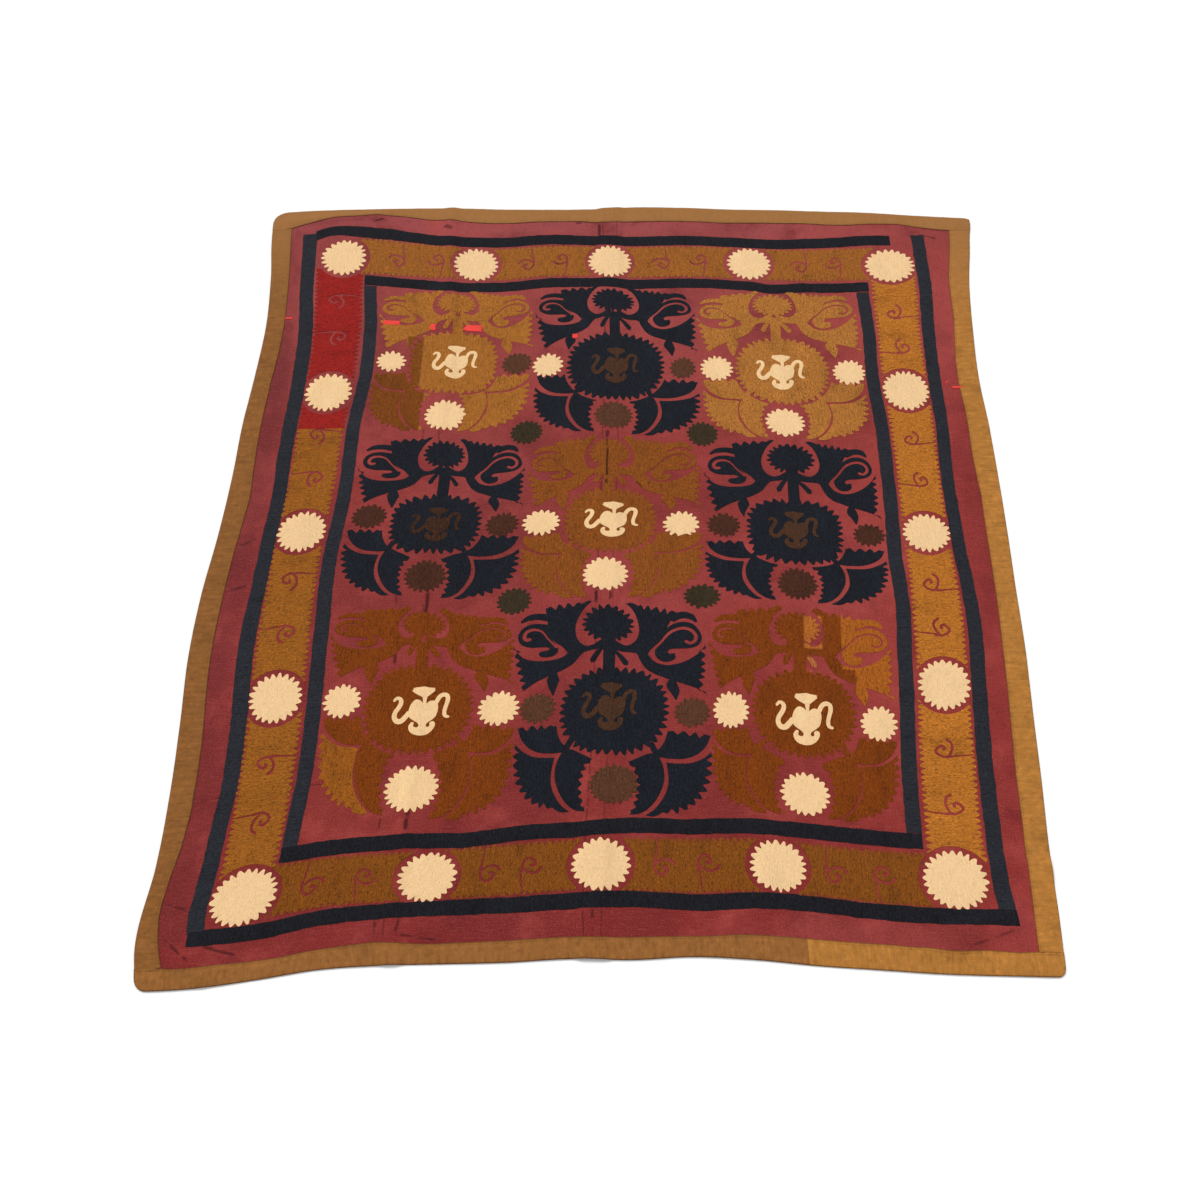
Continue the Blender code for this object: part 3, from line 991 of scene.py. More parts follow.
class SUZANI_OT_stage(bpy.types.Operator):
    """Add the pale floor, the soft light and the camera"""

    bl_idname = "suzani.stage"
    bl_label = "Stage"

    def execute(self, context):
        settings = context.scene.cover_stage
        bpy.ops.object.select_all(action="DESELECT")
        bpy.ops.mesh.primitive_plane_add(size=settings.floor_size, location=(0.0, 0.0, -FLOOR_DROP))
        floor = context.object
        floor.name = "floor"
        bpy.ops.object.transform_apply(location=True, rotation=True, scale=True)
        surface = bpy.data.materials.new("pale_floor")
        surface.use_nodes = True
        shader = surface.node_tree.nodes["Principled BSDF"]
        shader.inputs["Base Color"].default_value = (*settings.floor, 1.0)
        shader.inputs["Roughness"].default_value = 0.9
        shader.inputs["Specular IOR Level"].default_value = 0.1
        floor.data.materials.append(surface)
        key = bpy.data.lights.new("key", "SUN")
        key.energy = settings.key
        key.angle = SUN_SPREAD
        lamp = bpy.data.objects.new("key", key)
        lamp.rotation_euler = SUN_TURN
        context.scene.collection.objects.link(lamp)
        world = bpy.data.worlds.new("soft_room")
        world.use_nodes = True
        back = world.node_tree.nodes["Background"]
        back.inputs["Color"].default_value = (1.0, 1.0, 1.0, 1.0)
        back.inputs["Strength"].default_value = settings.fill
        context.scene.world = world
        context.scene.view_settings.view_transform = "Standard"
        seen = bpy.data.cameras.new("camera")
        seen.lens = settings.lens
        seen.sensor_width = 36.0
        seen.clip_start, seen.clip_end = 0.01, 200.0
        camera = bpy.data.objects.new("camera", seen)
        camera.location = CAMERA_PLACE
        camera.rotation_euler = (CAMERA_TILT, 0.0, 0.0)
        context.scene.collection.objects.link(camera)
        context.scene.camera = camera
        return {"FINISHED"}


# ---------------------------------------------------------------------------------------------
# Ground cloth
# ---------------------------------------------------------------------------------------------

class SUZANI_OT_ground(bpy.types.Operator):
    """Add the burgundy ground cloth with its folds"""

    bl_idname = "suzani.ground"
    bl_label = "Ground cloth"

    def execute(self, context):
        cell = context.scene.cover_sizes.ground_cell
        reach = FOLD_REACH * MILLIMETRE
        middle, side = CENTRE_FOLD[0], (SIDE_FOLD[0] + SIDE_FOLD[2]) / 2
        half_across, band = SEAM_ACROSS + GROUND_TUCK, HALF_WIDTH - BAND_INSET
        across = stations(
            (-half_across, -band, side - reach, side + reach,
             middle - reach, middle + reach, band, half_across),
            (FINE_CELL, cell, FINE_CELL, cell, FINE_CELL, cell, FINE_CELL),
        )
        half_along, end = SEAM_ALONG + GROUND_TUCK, HALF_LENGTH - BAND_INSET
        along = stations((-half_along, -end, end, half_along), (FINE_CELL, cell, FINE_CELL))
        points, faces, flat = closed_sheet(across, along, GROUND_THICKNESS)
        cloth = make_piece("ground", points, faces, flat, woven_ground())
        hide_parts("ground_cloth")
        context.scene["cover_ground"] = cloth.name
        return {"FINISHED"}


# ---------------------------------------------------------------------------------------------
# Binding
# ---------------------------------------------------------------------------------------------

# The strip's section: inset from the hem in millimetres, height as a share of the binding's rise.
# Its inner edge lies over the ground's edge, wider at some places along it than at others.
BINDING_SECTION = (
    (0.2, 0.30), (2.0, 0.03), (26.8, 0.0), (28.5, 0.66), (46.0, 0.66),
    (46.3, 0.80), (45.2, 0.98), (43.0, 0.92), (41.2, 0.74), (39.0, 0.90), (30.0, 1.0),
    (18.0, 0.94), (8.0, 1.0), (3.0, 0.98), (0.9, 0.76),
)
SIDE_END = SEAM_ALONG - 0.0026     # where the side strips meet the bottom strip
LEFT_SHORTER, RIGHT_SHORTER = 0.0294, 0.0184     # how much lower they meet the top strip
JOIN_GAP = 0.0002                  # how far each bottom strip ends from their join
GROUND_TUCK = 0.014                # how far the ground's edge lies under the binding
STRIP_CELL = 0.008
STRIP_SHARP_FOLD = 60.0            # degrees
ROLL_HEIGHT = 0.7                  # share of the rise over which the section's points gather
STRAY_FROM = 0.0288                # inset past which the section follows the straying seam
GATHER_HEIGHT, FINE_GATHER_HEIGHT = 0.0006, 0.0005
GATHER_LENGTH, FINE_GATHER_LENGTH = 0.034, 0.011
# Millimetres that the seam strays inwards at metres along each side
SEAM_STRAYS = {
    "left": ((-0.97, 12), (-0.94, 5), (-0.90, -3), (-0.86, -10), (-0.83, -12), (-0.77, -11), (-0.71, -3),
             (-0.64, 2), (-0.50, 2), (-0.40, -1), (-0.17, -1), (-0.03, 0), (0.03, 3), (0.10, 5), (0.17, 0),
             (0.23, -2), (0.43, 0), (0.50, 5), (0.60, 8), (0.72, 11), (0.84, 14), (0.94, 14)),
    "right": ((-0.97, 15), (-0.93, 12), (-0.90, 10), (-0.84, 6), (-0.70, 3), (-0.60, 6), (-0.43, 4),
              (-0.30, 5), (-0.17, 2), (0.03, 0), (0.10, -2), (0.23, 4), (0.36, 4), (0.43, 7), (0.50, 6),
              (0.57, 2), (0.64, -1), (0.70, 2), (0.77, 5), (0.84, 2), (0.90, 0), (0.94, 0)),
    "top": ((-0.903, 29), (-0.845, 29), (-0.80, 19), (-0.77, 8), (-0.74, -2), (-0.68, -3), (-0.62, -11),
            (-0.56, -8), (-0.50, 1), (-0.44, -3), (-0.39, 1), (-0.33, 3), (-0.21, 1), (-0.09, 0), (-0.03, 6),
            (0.03, 4), (0.09, 2), (0.27, 4), (0.39, 0), (0.50, 0), (0.56, 4), (0.62, 6), (0.68, 0),
            (0.74, -2), (0.79, 9), (0.83, 16), (0.86, 18), (0.903, 18)),
    "bottom": ((-0.903, 0), (-0.856, 0), (-0.83, -4), (-0.80, -5), (-0.74, -3), (-0.68, -6), (-0.62, -8),
               (-0.56, -6), (-0.50, -4), (-0.44, 0), (-0.39, -4), (-0.33, -8), (-0.27, -7), (-0.15, -6),
               (-0.03, -8), (0.09, -6), (0.21, -5), (0.27, -1), (0.44, 0), (0.56, 2), (0.62, 1),
               (0.68, -3), (0.74, 1), (0.80, -2), (0.83, 0), (0.903, 0)),
}

BINDINGS = (
    # name, side that it is on, from, to, cloth, its dye or None for the cloth's own
    ("left", "left", -SIDE_END, SIDE_END - LEFT_SHORTER, "brown", None),
    ("right", "right", -SIDE_END, SIDE_END - RIGHT_SHORTER, "gold", None),
    ("top", "top", -HALF_WIDTH, HALF_WIDTH, "brown", dye(168, 116, 66)),
    ("bottom_left", "bottom", -HALF_WIDTH, BINDING_JOIN - JOIN_GAP, "brown", dye(156, 102, 52)),
    ("bottom_right", "bottom", BINDING_JOIN + JOIN_GAP, HALF_WIDTH, "gold", None),
)


def on_side(side, run, inset):
    """The flat place that is `run` along a side of the cover and `inset` from its hem."""
    run, inset = np.asarray(run, float), np.asarray(inset, float)
    if side == "left":
        return inset - HALF_WIDTH, run
    if side == "right":
        return HALF_WIDTH - inset, run
    if side == "top":
        return run, HALF_LENGTH - inset
    return run, inset - HALF_LENGTH


def seam_stray(side, run):
    """How far the seam strays inwards at places along a side, in metres."""
    at, off = np.array(SEAM_STRAYS[side]).T
    return np.interp(run, at, off) * MILLIMETRE


def binding_strip(name, side, start, end, rise):
    """One folded strip, swept along its side: points, faces and flat places."""
    runs = np.array(stations((start, end), (STRIP_CELL,)))
    insets, highs = np.array(BINDING_SECTION).T
    insets = insets * MILLIMETRE
    count, long = len(insets), len(runs)
    run, inset, high = np.repeat(runs, count), np.tile(insets, long), np.tile(highs, long)
    gather = np.repeat(soft_noise(runs / GATHER_LENGTH + 7, np.full(long, len(name))) * 2 - 1, count)
    fine = np.repeat(soft_noise(runs / FINE_GATHER_LENGTH + 3, np.full(long, 5.0)) - 0.5, count)
    across = np.sin(np.pi * np.clip(inset / BINDING_WIDTH, 0, 1))
    waves = GATHER_HEIGHT * gather * across + FINE_GATHER_HEIGHT * fine * (1 - across * 0.4)
    inner = np.clip(inset / (BINDING_WIDTH / 2) - 0.9, 0, 1) * (inset > STRAY_FROM)
    place = on_side(side, run, inset + inner * seam_stray(side, run))
    points = laid(*place, high * rise + (high > ROLL_HEIGHT) * waves)
    faces = []
    for first in range(0, (long - 1) * count, count):
        for corner in range(count):
            a, b = first + corner, first + (corner + 1) % count
            faces.append((a, b, b + count, a + count))
    faces.append(tuple(range(count))[::-1])
    faces.append(tuple((long - 1) * count + corner for corner in range(count)))
    if side in ("left", "bottom"):
        faces = [face[::-1] for face in faces]
    return points, faces, np.column_stack(on_side(side, run, inset))


def outward(points, faces):
    """The faces, turned round if the closed mesh is inside out."""
    volume = 0.0
    for face in faces:
        origin = points[face[0]]
        for near, far in zip(face[1:], face[2:]):
            volume += np.dot(origin, np.cross(points[near], points[far]))
    return faces if volume > 0 else [face[::-1] for face in faces]


# A sunk stitch: share of its length, half width and height over the ground's underside, in metres
STITCH_RINGS = (
    (0.0, 0.0001, 0.0020),
    (0.2, 0.00035, 0.0026),
    (0.5, 0.00040, 0.0029),
    (0.8, 0.00035, 0.0026),
    (1.0, 0.0001, 0.0020),
)
STITCH_CORNERS = ((-1, -0.0003), (0, 0.0002), (1, -0.0003))     # share of the half width, height
STITCH_INSET, STITCH_SLIP, STITCH_GAP = 0.0412, 0.0004, 0.0021
STITCHES_FROM, STITCHES_TO = 0.006, 0.008     # bare length at the row's two ends


def seam_stitches(side, start, end, length, chance):
    """A row of small sunk stitches along a strip's seam: points, faces and flat places."""
    body = [(a, b, b + 3, a + 3) for first in (0, 3, 6, 9)
            for a, b in ((first, first + 1), (first + 1, first + 2), (first + 2, first))]
    body += [(2, 1, 0), (12, 13, 14)]
    points, faces, flat = [], [], []
    at = start + STITCHES_FROM
    while at < end - STITCHES_TO:
        long = length * chance.uniform(0.85, 1.1)
        inset = STITCH_INSET + chance.uniform(-STITCH_SLIP, STITCH_SLIP)
        inset += float(seam_stray(side, at + long / 2))
        places = [(at + share * long, inset + across * wide, rise + up)
                  for share, wide, rise in STITCH_RINGS for across, up in STITCH_CORNERS]
        run, insets, heights = np.array(places).T
        u, v = on_side(side, run, insets)
        stitch = laid(u, v, heights)
        first = len(points)
        points += stitch.tolist()
        flat += list(zip(u.tolist(), v.tolist()))
        local = outward(stitch - stitch.mean(0), body)
        faces += [tuple(first + corner for corner in face) for face in local]
        at += long + STITCH_GAP
    return points, faces, flat


class SUZANI_OT_bindings(bpy.types.Operator):
    """Add the five strips of binding and the stitches of their seams"""

    bl_idname = "suzani.bindings"
    bl_label = "Bindings"

    def execute(self, context):
        sizes, colours = context.scene.cover_sizes, context.scene.cover_colours
        chance = random.Random(sizes.chance)
        own = {"brown": tuple(colours.binding_brown), "gold": tuple(colours.binding_gold)}
        for name, side, start, end, cloth, colour in BINDINGS:
            weave = binding_weave("binding_weave_" + name, colour or own[cloth], side in ("top", "bottom"))
            points, faces, flat = binding_strip(name, side, start, end, sizes.binding_rise)
            strip = make_piece("binding_strip_" + name, points, outward(points, faces), flat, weave,
                               STRIP_SHARP_FOLD)
            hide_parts("binding_" + name)
            points, faces, flat = seam_stitches(side, start, end, sizes.stitch_length, chance)
            row = make_piece("seam_stitches_" + name, np.array(points), faces, flat, weave)
        return {"FINISHED"}


# ---------------------------------------------------------------------------------------------
# Black bands
# ---------------------------------------------------------------------------------------------

# Each band: its name, box in millimetres (low and high across, low and high along), whether it is
# upright, and how far it strays sideways at places along it
BANDS = (
    ("outer_top", (-779, 716, 884, 918), False,
     ((-779, -3), (-762, 5), (-745, 11), (-715, 10), (-700, 5), (-680, 1), (-640, -4), (-600, -2),
      (-500, -3), (-362, 3), (-150, 2), (0, 0), (200, 0), (300, -1), (435, -3), (500, 0), (567, 1),
      (610, 3), (660, 6), (716, 5))),
    ("outer_bottom", (-805, 809, -919, -886), False,
     ((-805, -1), (-760, -3), (-700, -5), (-638, -6), (-560, -1), (-496, 1), (-400, 3), (-213, 2), (-71, -1),
      (71, 5), (200, 2), (355, 6), (500, 5), (638, 5), (809, 4))),
    ("outer_left", (-811, -777, -895, 907), True,
     ((-895, 3), (-850, -3), (-704, -3), (-640, 0), (-600, 4), (-500, 4), (-391, 3), (-250, 1), (-78, 4),
      (78, 6), (150, 2), (200, -1), (300, 2), (391, 4), (547, 5), (704, -1), (850, 2), (907, 2))),
    ("outer_right", (776, 808, -884, 926), True,
     ((-884, 0), (-820, -2), (-700, 0), (-540, -3), (-380, -1), (-220, 3), (-60, -3), (100, -2), (260, -2),
      (580, -1), (740, 1), (860, -6), (926, -9))),
    ("inner_top", (-655, 651, 731, 762), False,
     ((-655, 4), (-620, 4), (-507, 0), (-450, -4), (-395, -5), (-340, -1), (-282, 0), (-250, 0), (-169, 3),
      (0, 0), (169, 1), (250, 3), (300, 1), (350, 0), (395, -8), (440, -4), (480, 1), (600, 1), (651, 1))),
    ("inner_bottom", (-655, 651, -762, -729), False,
     ((-655, -3), (-600, -2), (-507, 0), (-395, 2), (-340, 0), (-282, -5), (-169, 2), (-56, -2), (56, 6),
      (169, 2), (282, 5), (400, 6), (507, 6), (600, 4), (651, 3))),
    ("inner_left", (-651, -619, -733, 733), True,
     ((-733, -4), (-680, -4), (-573, 0), (-318, 0), (-200, 1), (-64, -3), (64, 3), (191, 0), (300, -1),
      (445, 3), (573, 1), (700, -4), (733, -4))),
    ("inner_right", (620, 652, -725, 730), True,
     ((-725, 0), (-573, -2), (-400, 0), (-300, -1), (-191, 2), (-64, -5), (64, 0), (191, 0), (300, 1),
      (445, -2), (600, 1), (730, -2))),
)


def ragged_box(box, chance, slip=0.9, step=14.0):
    """A box with slightly uneven hand-worked edges."""
    low_x, high_x, low_y, high_y = box
    corners = [(low_x, low_y), (high_x, low_y), (high_x, high_y), (low_x, high_y)]
    points = []
    for near, far in zip(corners, corners[1:] + corners[:1]):
        near, far = np.array(near, float), np.array(far, float)
        count = max(1, round(np.hypot(*(far - near)) / step))
        for number in range(count):
            slide = chance.uniform(-slip, slip), chance.uniform(-slip, slip)
            points.append(near + (far - near) * number / count + np.array(slide))
    return np.array(points)


def strayed(points, upright, strays):
    """The points of a band moved sideways as the band strays."""
    at, off = np.array(strays, float).T
    run, side = (1, 0) if upright else (0, 1)
    moved = points.copy()
    moved[:, side] += np.interp(points[:, run], at, off)
    return moved


class SUZANI_OT_bands(bpy.types.Operator):
    """Add the blue-black bands that frame the border"""

    bl_idname = "suzani.bands"
    bl_label = "Black bands"

    def execute(self, context):
        sizes = context.scene.cover_sizes
        chance = random.Random(sizes.chance + 1)
        # The upright bands' thread is the same black thread with painted sheen, lighter and bluer than the
        # level bands'.
        level = couched_thread("black_thread_level", dye(28, 28, 34), highlight_and_tone=dye(42, 44, 54))
        upright = couched_thread("slate_thread_upright", dye(44, 45, 52), True, highlight_and_tone=dye(60, 62, 70))
        for name, box, is_upright, strays in BANDS:
            drawing = Drawing()
            drawing.fill(strayed(ragged_box(box, chance), is_upright, strays))
            embroider("band_" + name, drawing, upright if is_upright else level, "thread_black",
                      sizes.thread_rise, sizes.thread_rise * EDGE_SHARE, cell=9.0)
        return {"FINISHED"}


# ---------------------------------------------------------------------------------------------
# Border
# ---------------------------------------------------------------------------------------------

# Rosettes of the border: across, along, half width, half length, in millimetres
BORDER_ROSETTES = (
    (-709, 820, 53, 55), (-367, 823, 58, 56), (-18, 823, 56, 57), (345, 825, 57, 55), (709, 818, 61, 55),
    (-714, 397, 56, 55), (-716, 8, 57, 52), (-718, -401, 56, 57), (-711, -830, 66, 61),
    (713, 412, 59, 60), (715, 1, 58, 51), (717, -387, 56, 60), (705, -822, 62, 62),
    (-349, -829, 59, 57), (-1, -826, 60, 58), (355, -822, 57, 56),
)
RING = 9.5     # bare ground between a rosette and the border's ochre
ROSETTE_PITCH, ROSETTE_DEPTH = 16.5, 10.5     # of its teeth

# Ochre of each side: insets of its outer and inner tooth tips, tooth pitch, outer and inner depth
BORDER_SIDES = {
    "top": (131, 244, 14.0, 8, 11),
    "left": (129, 245, 13.5, 10, 12),
    "right": (132, 246, 13.5, 10, 12),
    "bottom": (130, 246, 14.0, 9, 11),
}
EDGE_STEP, EDGE_SLIP = 90, 1.2     # how often, and how far, its edges stray
# Where each side's ochre starts and ends, in millimetres along it
BORDER_RUNS = {"top": (-672, 672), "left": (-788, 785), "right": (-785, 787), "bottom": (-676, 668)}

# Curled vine cut out of the ochre: x along the side, y in from its outer edge, and widths
VINE = (
    (((0, -4), (3, 25), (6, 52)), (2.6, 3.4, 4.6)),
    (((6, 48), (7, 62), (3, 73), (-4, 80), (-13, 77), (-19, 68), (-15, 62), (-10, 64)), (5.0, 5.4, 5.8, 7.0)),
    (((-33, 57), (-27, 49), (-18, 46), (-7, 48), (1, 53), (6, 58)), (6.2, 6.0, 4.6)),
)
VINE_MIDDLE = -13
VINE_SLIP, VINE_SIZES = 2, (0.92, 1.08)     # how unevenly its parts are placed and sized
VINES = {
    # the places along each side, and which edge each stem starts from: 1 outer, -1 inner
    "top": ((-575, 1), (-474, -1), (-237, 1), (-147, -1), (116, 1), (213, -1), (476, 1), (566, -1)),
    "right": ((662, 1), (549, -1), (268, 1), (149, -1), (-132, 1), (-244, -1), (-538, 1), (-663, -1)),
    "bottom": ((-575, -1), (-472, 1), (-222, -1), (-140, 1), (128, -1), (216, 1), (472, -1), (566, 1)),
    "left": ((681, -1), (562, 1), (268, -1), (149, 1), (-119, -1), (-250, 1), (-550, -1), (-675, 1)),
}
VINE_WAY = {"top": 1, "left": 1, "right": -1, "bottom": -1}
RED_END = 291     # millimetres along, where the left border's red gives way to ochre


def side_to_flat(side):
    """The way from (along a side, inset) to the flat cloth, in millimetres."""
    def place(points):
        u, v = on_side(side, points[:, 0] * MILLIMETRE, points[:, 1] * MILLIMETRE)
        return np.column_stack([u, v]) / MILLIMETRE
    return place


def border_drawing(side, start, end, chance):
    """One side's ochre with combed edges, its vines and the rings round the rosettes cut out."""
    outer, inner, pitch, deep_out, deep_in = BORDER_SIDES[side]
    places = np.linspace(start, end, max(3, round((end - start) / EDGE_STEP)))
    far = [(at, outer + chance.uniform(-EDGE_SLIP, EDGE_SLIP)) for at in places]
    near = [(at, inner + chance.uniform(-EDGE_SLIP, EDGE_SLIP)) for at in places[::-1]]
    turn = math.copysign(1, area_of(far + near))
    combed = np.vstack([
        toothed(far, pitch, deep_out, turn, COMB, chance),
        toothed(near, pitch, deep_in, turn, COMB, chance),
    ])
    drawing = Drawing()
    drawing.fill(combed)
    way = VINE_WAY[side]
    for at, edge in VINES[side]:
        if not start < at < end:
            continue
        for line, widths in VINE:
            slip = chance.uniform(-VINE_SLIP, VINE_SLIP)
            size = chance.uniform(*VINE_SIZES)
            points = []
            for x, y in line:
                inset = outer + y if edge > 0 else inner - y
                points.append((at + way * ((x - VINE_MIDDLE) * size + slip), inset))
            drawing.cut(ribbon(points, widths))
    drawing = drawing.placed(side_to_flat(side))
    for x, y, wide, long in BORDER_ROSETTES:
        drawing.cut(oval((x, y), (wide + RING, long + RING), 40))
    return drawing


class SUZANI_OT_border(bpy.types.Operator):
    """Add the border's ochre and red with combed edges, vines and cream rosettes"""

    bl_idname = "suzani.border"
    bl_label = "Border"

    def execute(self, context):
        sizes, colours = context.scene.cover_sizes, context.scene.cover_colours
        chance = random.Random(sizes.chance + 2)
        threads = {
            "top": couched_thread("ochre_thread_top", tuple(colours.ochre)),
            "bottom": couched_thread("ochre_thread_bottom", dye(142, 80, 20)),
            "left": couched_thread("ochre_thread_left", dye(168, 100, 30), True),
            "right": couched_thread("ochre_thread_right", dye(200, 122, 42), True),
        }
        red = couched_thread("red_thread", tuple(colours.red), True)
        for side in ("top", "right", "bottom", "left"):
            start, end = BORDER_RUNS[side]
            if side == "left":
                end = RED_END
            embroider("border_" + side, border_drawing(side, start, end, chance), threads[side],
                      "thread_ochre", sizes.thread_rise, sizes.thread_rise * EDGE_SHARE)
        embroider("border_left_red", border_drawing("left", RED_END, BORDER_RUNS["left"][1], chance), red,
                  "thread_red", sizes.thread_rise, sizes.thread_rise * EDGE_SHARE)
        cream = couched_thread("cream_thread", tuple(colours.cream), shade=0.35)
        drawing = Drawing()
        for x, y, wide, long in BORDER_ROSETTES:
            teeth = round(math.pi * (wide + long) / ROSETTE_PITCH)
            drawing.fill(scalloped((x, y), (wide + 1, long + 1), teeth, ROSETTE_DEPTH, chance))
        embroider("border_rosettes", drawing, cream, "thread_cream",
                  sizes.thread_rise * 1.15, sizes.thread_rise * 0.7)
        return {"FINISHED"}


# ---------------------------------------------------------------------------------------------
# Medallions
# ---------------------------------------------------------------------------------------------

# One medallion, charted in millimetres. Its upper part: x from its stem, y down from its top.
CHART_TOP = (0, 108, 221, 313, 363, 503)     # top, ring low, arms low, crest, fork, bottom
UPPER_ACROSS = (-208, -77, 0, 66, 214)       # left, ring left, stem, ring right, right
LOWER_ACROSS = (-205, -118, 118, 205)        # left, disc left, disc right, right
STEM_WIDTH = 26
STEM_FROM, STEM_TUCK = 80, 14     # where the stem starts below the top, how far it goes into the disc
DISC_RING = 4.6     # bare ground between the disc's teeth and what is beside them

PALMETTE = ((-4, 51), (60, 49))
PALMETTE_TEETH = (19, 12.0)                   # their number and depth
CRESCENT_TEETH, OUTER_TEETH, INNER_TEETH = (19.0, 11.0), (21.0, 13.0), (18.0, 9.0)     # pitch and depth
DISC_PITCH, DISC_DEPTH = 18.0, 13.5           # of the disc's teeth
LEFT_ARM = (
    (PLAIN, (-42, -4), (-55, 9), (-68, 31), (-77, 60), (-74, 88), (-62, 105), (-48, 110), (-34, 106),
     (-20, 95)),
    (PLAIN, (-8, 92)),
    (PLAIN, (-8, 115), (-28, 119), (-50, 123), (-61, 129), (-78, 152), (-94, 165), (-112, 175), (-131, 184),
     (-158, 199)),
    (TEETH, (-183, 219), (-190, 198), (-196, 176), (-201, 155), (-203, 138)),
    (PLAIN, (-208, 108), (-197, 126), (-181, 141), (-152, 147), (-121, 144), (-101, 137)),
    (PLAIN, (-92, 127), (-104, 112), (-120, 100), (-129, 88), (-134, 74), (-136, 60), (-137, 48)),
    (PLAIN, (-139, 30), (-141, 22)),
    (TEETH, (-142, 12), (-118, 5), (-98, 1), (-76, -1)),
    (PLAIN, (-60, 0), (-50, -6)),
)
LEFT_HOOK = ((-136, 56), (-160, 53), (-180, 58), (-194, 72), (-198, 90), (-190, 106), (-172, 113),
             (-150, 113), (-135, 113), (-130, 118), (-138, 122), (-149, 124), (-153, 131), (-145, 137),
             (-129, 137), (-117, 131), (-112, 119), (-117, 107), (-124, 98), (-126, 82), (-130, 64))
LEFT_SLIT = (((-116, 113), (-127, 101), (-136, 90), (-143, 79), (-152, 71), (-166, 68), (-179, 73),
              (-185, 84), (-181, 94), (-172, 92)), (7, 5, 4, 4, 5, 7, 8, 8, 9, 8))
LEFT_HORN = (((-134, 38), (-158, 35), (-178, 39), (-192, 49)), (19, 16, 14, 5))

RIGHT_ARM = (
    (PLAIN, (36, -4), (50, 10), (61, 34), (66, 62), (62, 84), (50, 99), (36, 104), (18, 97)),
    (PLAIN, (8, 92)),
    (PLAIN, (8, 117), (30, 120), (60, 122), (67, 134), (79, 155), (95, 168), (115, 176), (134, 183),
     (165, 192), (196, 203)),
    (TEETH, (214, 217), (204, 196), (208, 172), (209, 150), (208, 126)),
    (PLAIN, (209, 92), (195, 112), (178, 128), (155, 141), (128, 148), (104, 143), (91, 131)),
    (PLAIN, (87, 118), (97, 106), (112, 93), (120, 80), (124, 66), (126, 52)),
    (PLAIN, (134, 34), (146, 22)),
    (TEETH, (146, 11), (120, 4), (98, 0), (76, -3)),
    (PLAIN, (60, -2), (48, -7)),
)
RIGHT_HOOK = ((116, 66), (128, 52), (144, 41), (162, 37), (180, 41), (193, 54), (200, 72), (197, 88),
              (185, 99), (168, 104), (148, 106), (134, 108), (127, 114), (132, 120), (142, 118), (144, 129),
              (136, 137), (120, 140), (107, 133), (100, 120), (102, 106), (108, 92), (112, 78))
RIGHT_SLIT = (((90, 124), (95, 113), (104, 102), (114, 90), (122, 78), (132, 66), (146, 57), (162, 53),
               (177, 57), (187, 69), (186, 82), (176, 90), (166, 86)),
               (10, 7, 6, 6, 6, 7, 7, 8, 8, 8, 8, 8, 8))
RIGHT_HORN = (((136, 30), (150, 22), (163, 19), (178, 23), (188, 34)), (18, 17, 17, 15, 6))

SMALL_LEAVES = (
    (((-12, 110), (-27, 129), (-37, 147)), (5, 11, 13)),
    (((10, 118), (26, 133), (38, 148)), (5, 11, 13)),
)
BUDS = (
    (((-118, 174), (-120, 190), (-121, 204), (-119, 229)), (9, 27, 17, 3)),
    (((140, 178), (138, 197), (144, 209), (147, 230)), (9, 25, 19, 3)),
)

# Its lower part: x from the middle of its disc, one side, mirrored for the other
CRESCENT = (
    (TEETH, (-203, 307), (-160, 302)),
    (PLAIN, (-121, 303), (-116, 325), (-107, 343)),
    (PLAIN, (-96, 354), (-99, 364)),
    (PLAIN, (-124, 368), (-152, 366), (-176, 355), (-194, 334)),
)
OUTER_LEAF = (
    (PLAIN, (-206, 345), (-190, 362), (-166, 375), (-140, 378)),
    (PLAIN, (-120, 378), (-124, 402), (-125, 425), (-121, 447), (-111, 468), (-97, 487)),
    (PLAIN, (-80, 500), (-98, 501)),
    (TEETH, (-114, 493), (-142, 491), (-163, 480), (-181, 464), (-196, 441), (-204, 415), (-208, 380)),
)
INNER_LEAF = (
    (PLAIN, (-97, 357), (-80, 360), (-62, 369)),
    (TEETH, (-38, 382), (-50, 402), (-56, 422), (-58, 446), (-54, 472)),
    (PLAIN, (-47, 500), (-66, 497), (-84, 486), (-100, 466), (-112, 440), (-117, 415), (-114, 388)),
    (PLAIN, (-104, 364),),
)
DISC_LINK = (((-86, 336), (-100, 362)), (13, 13))

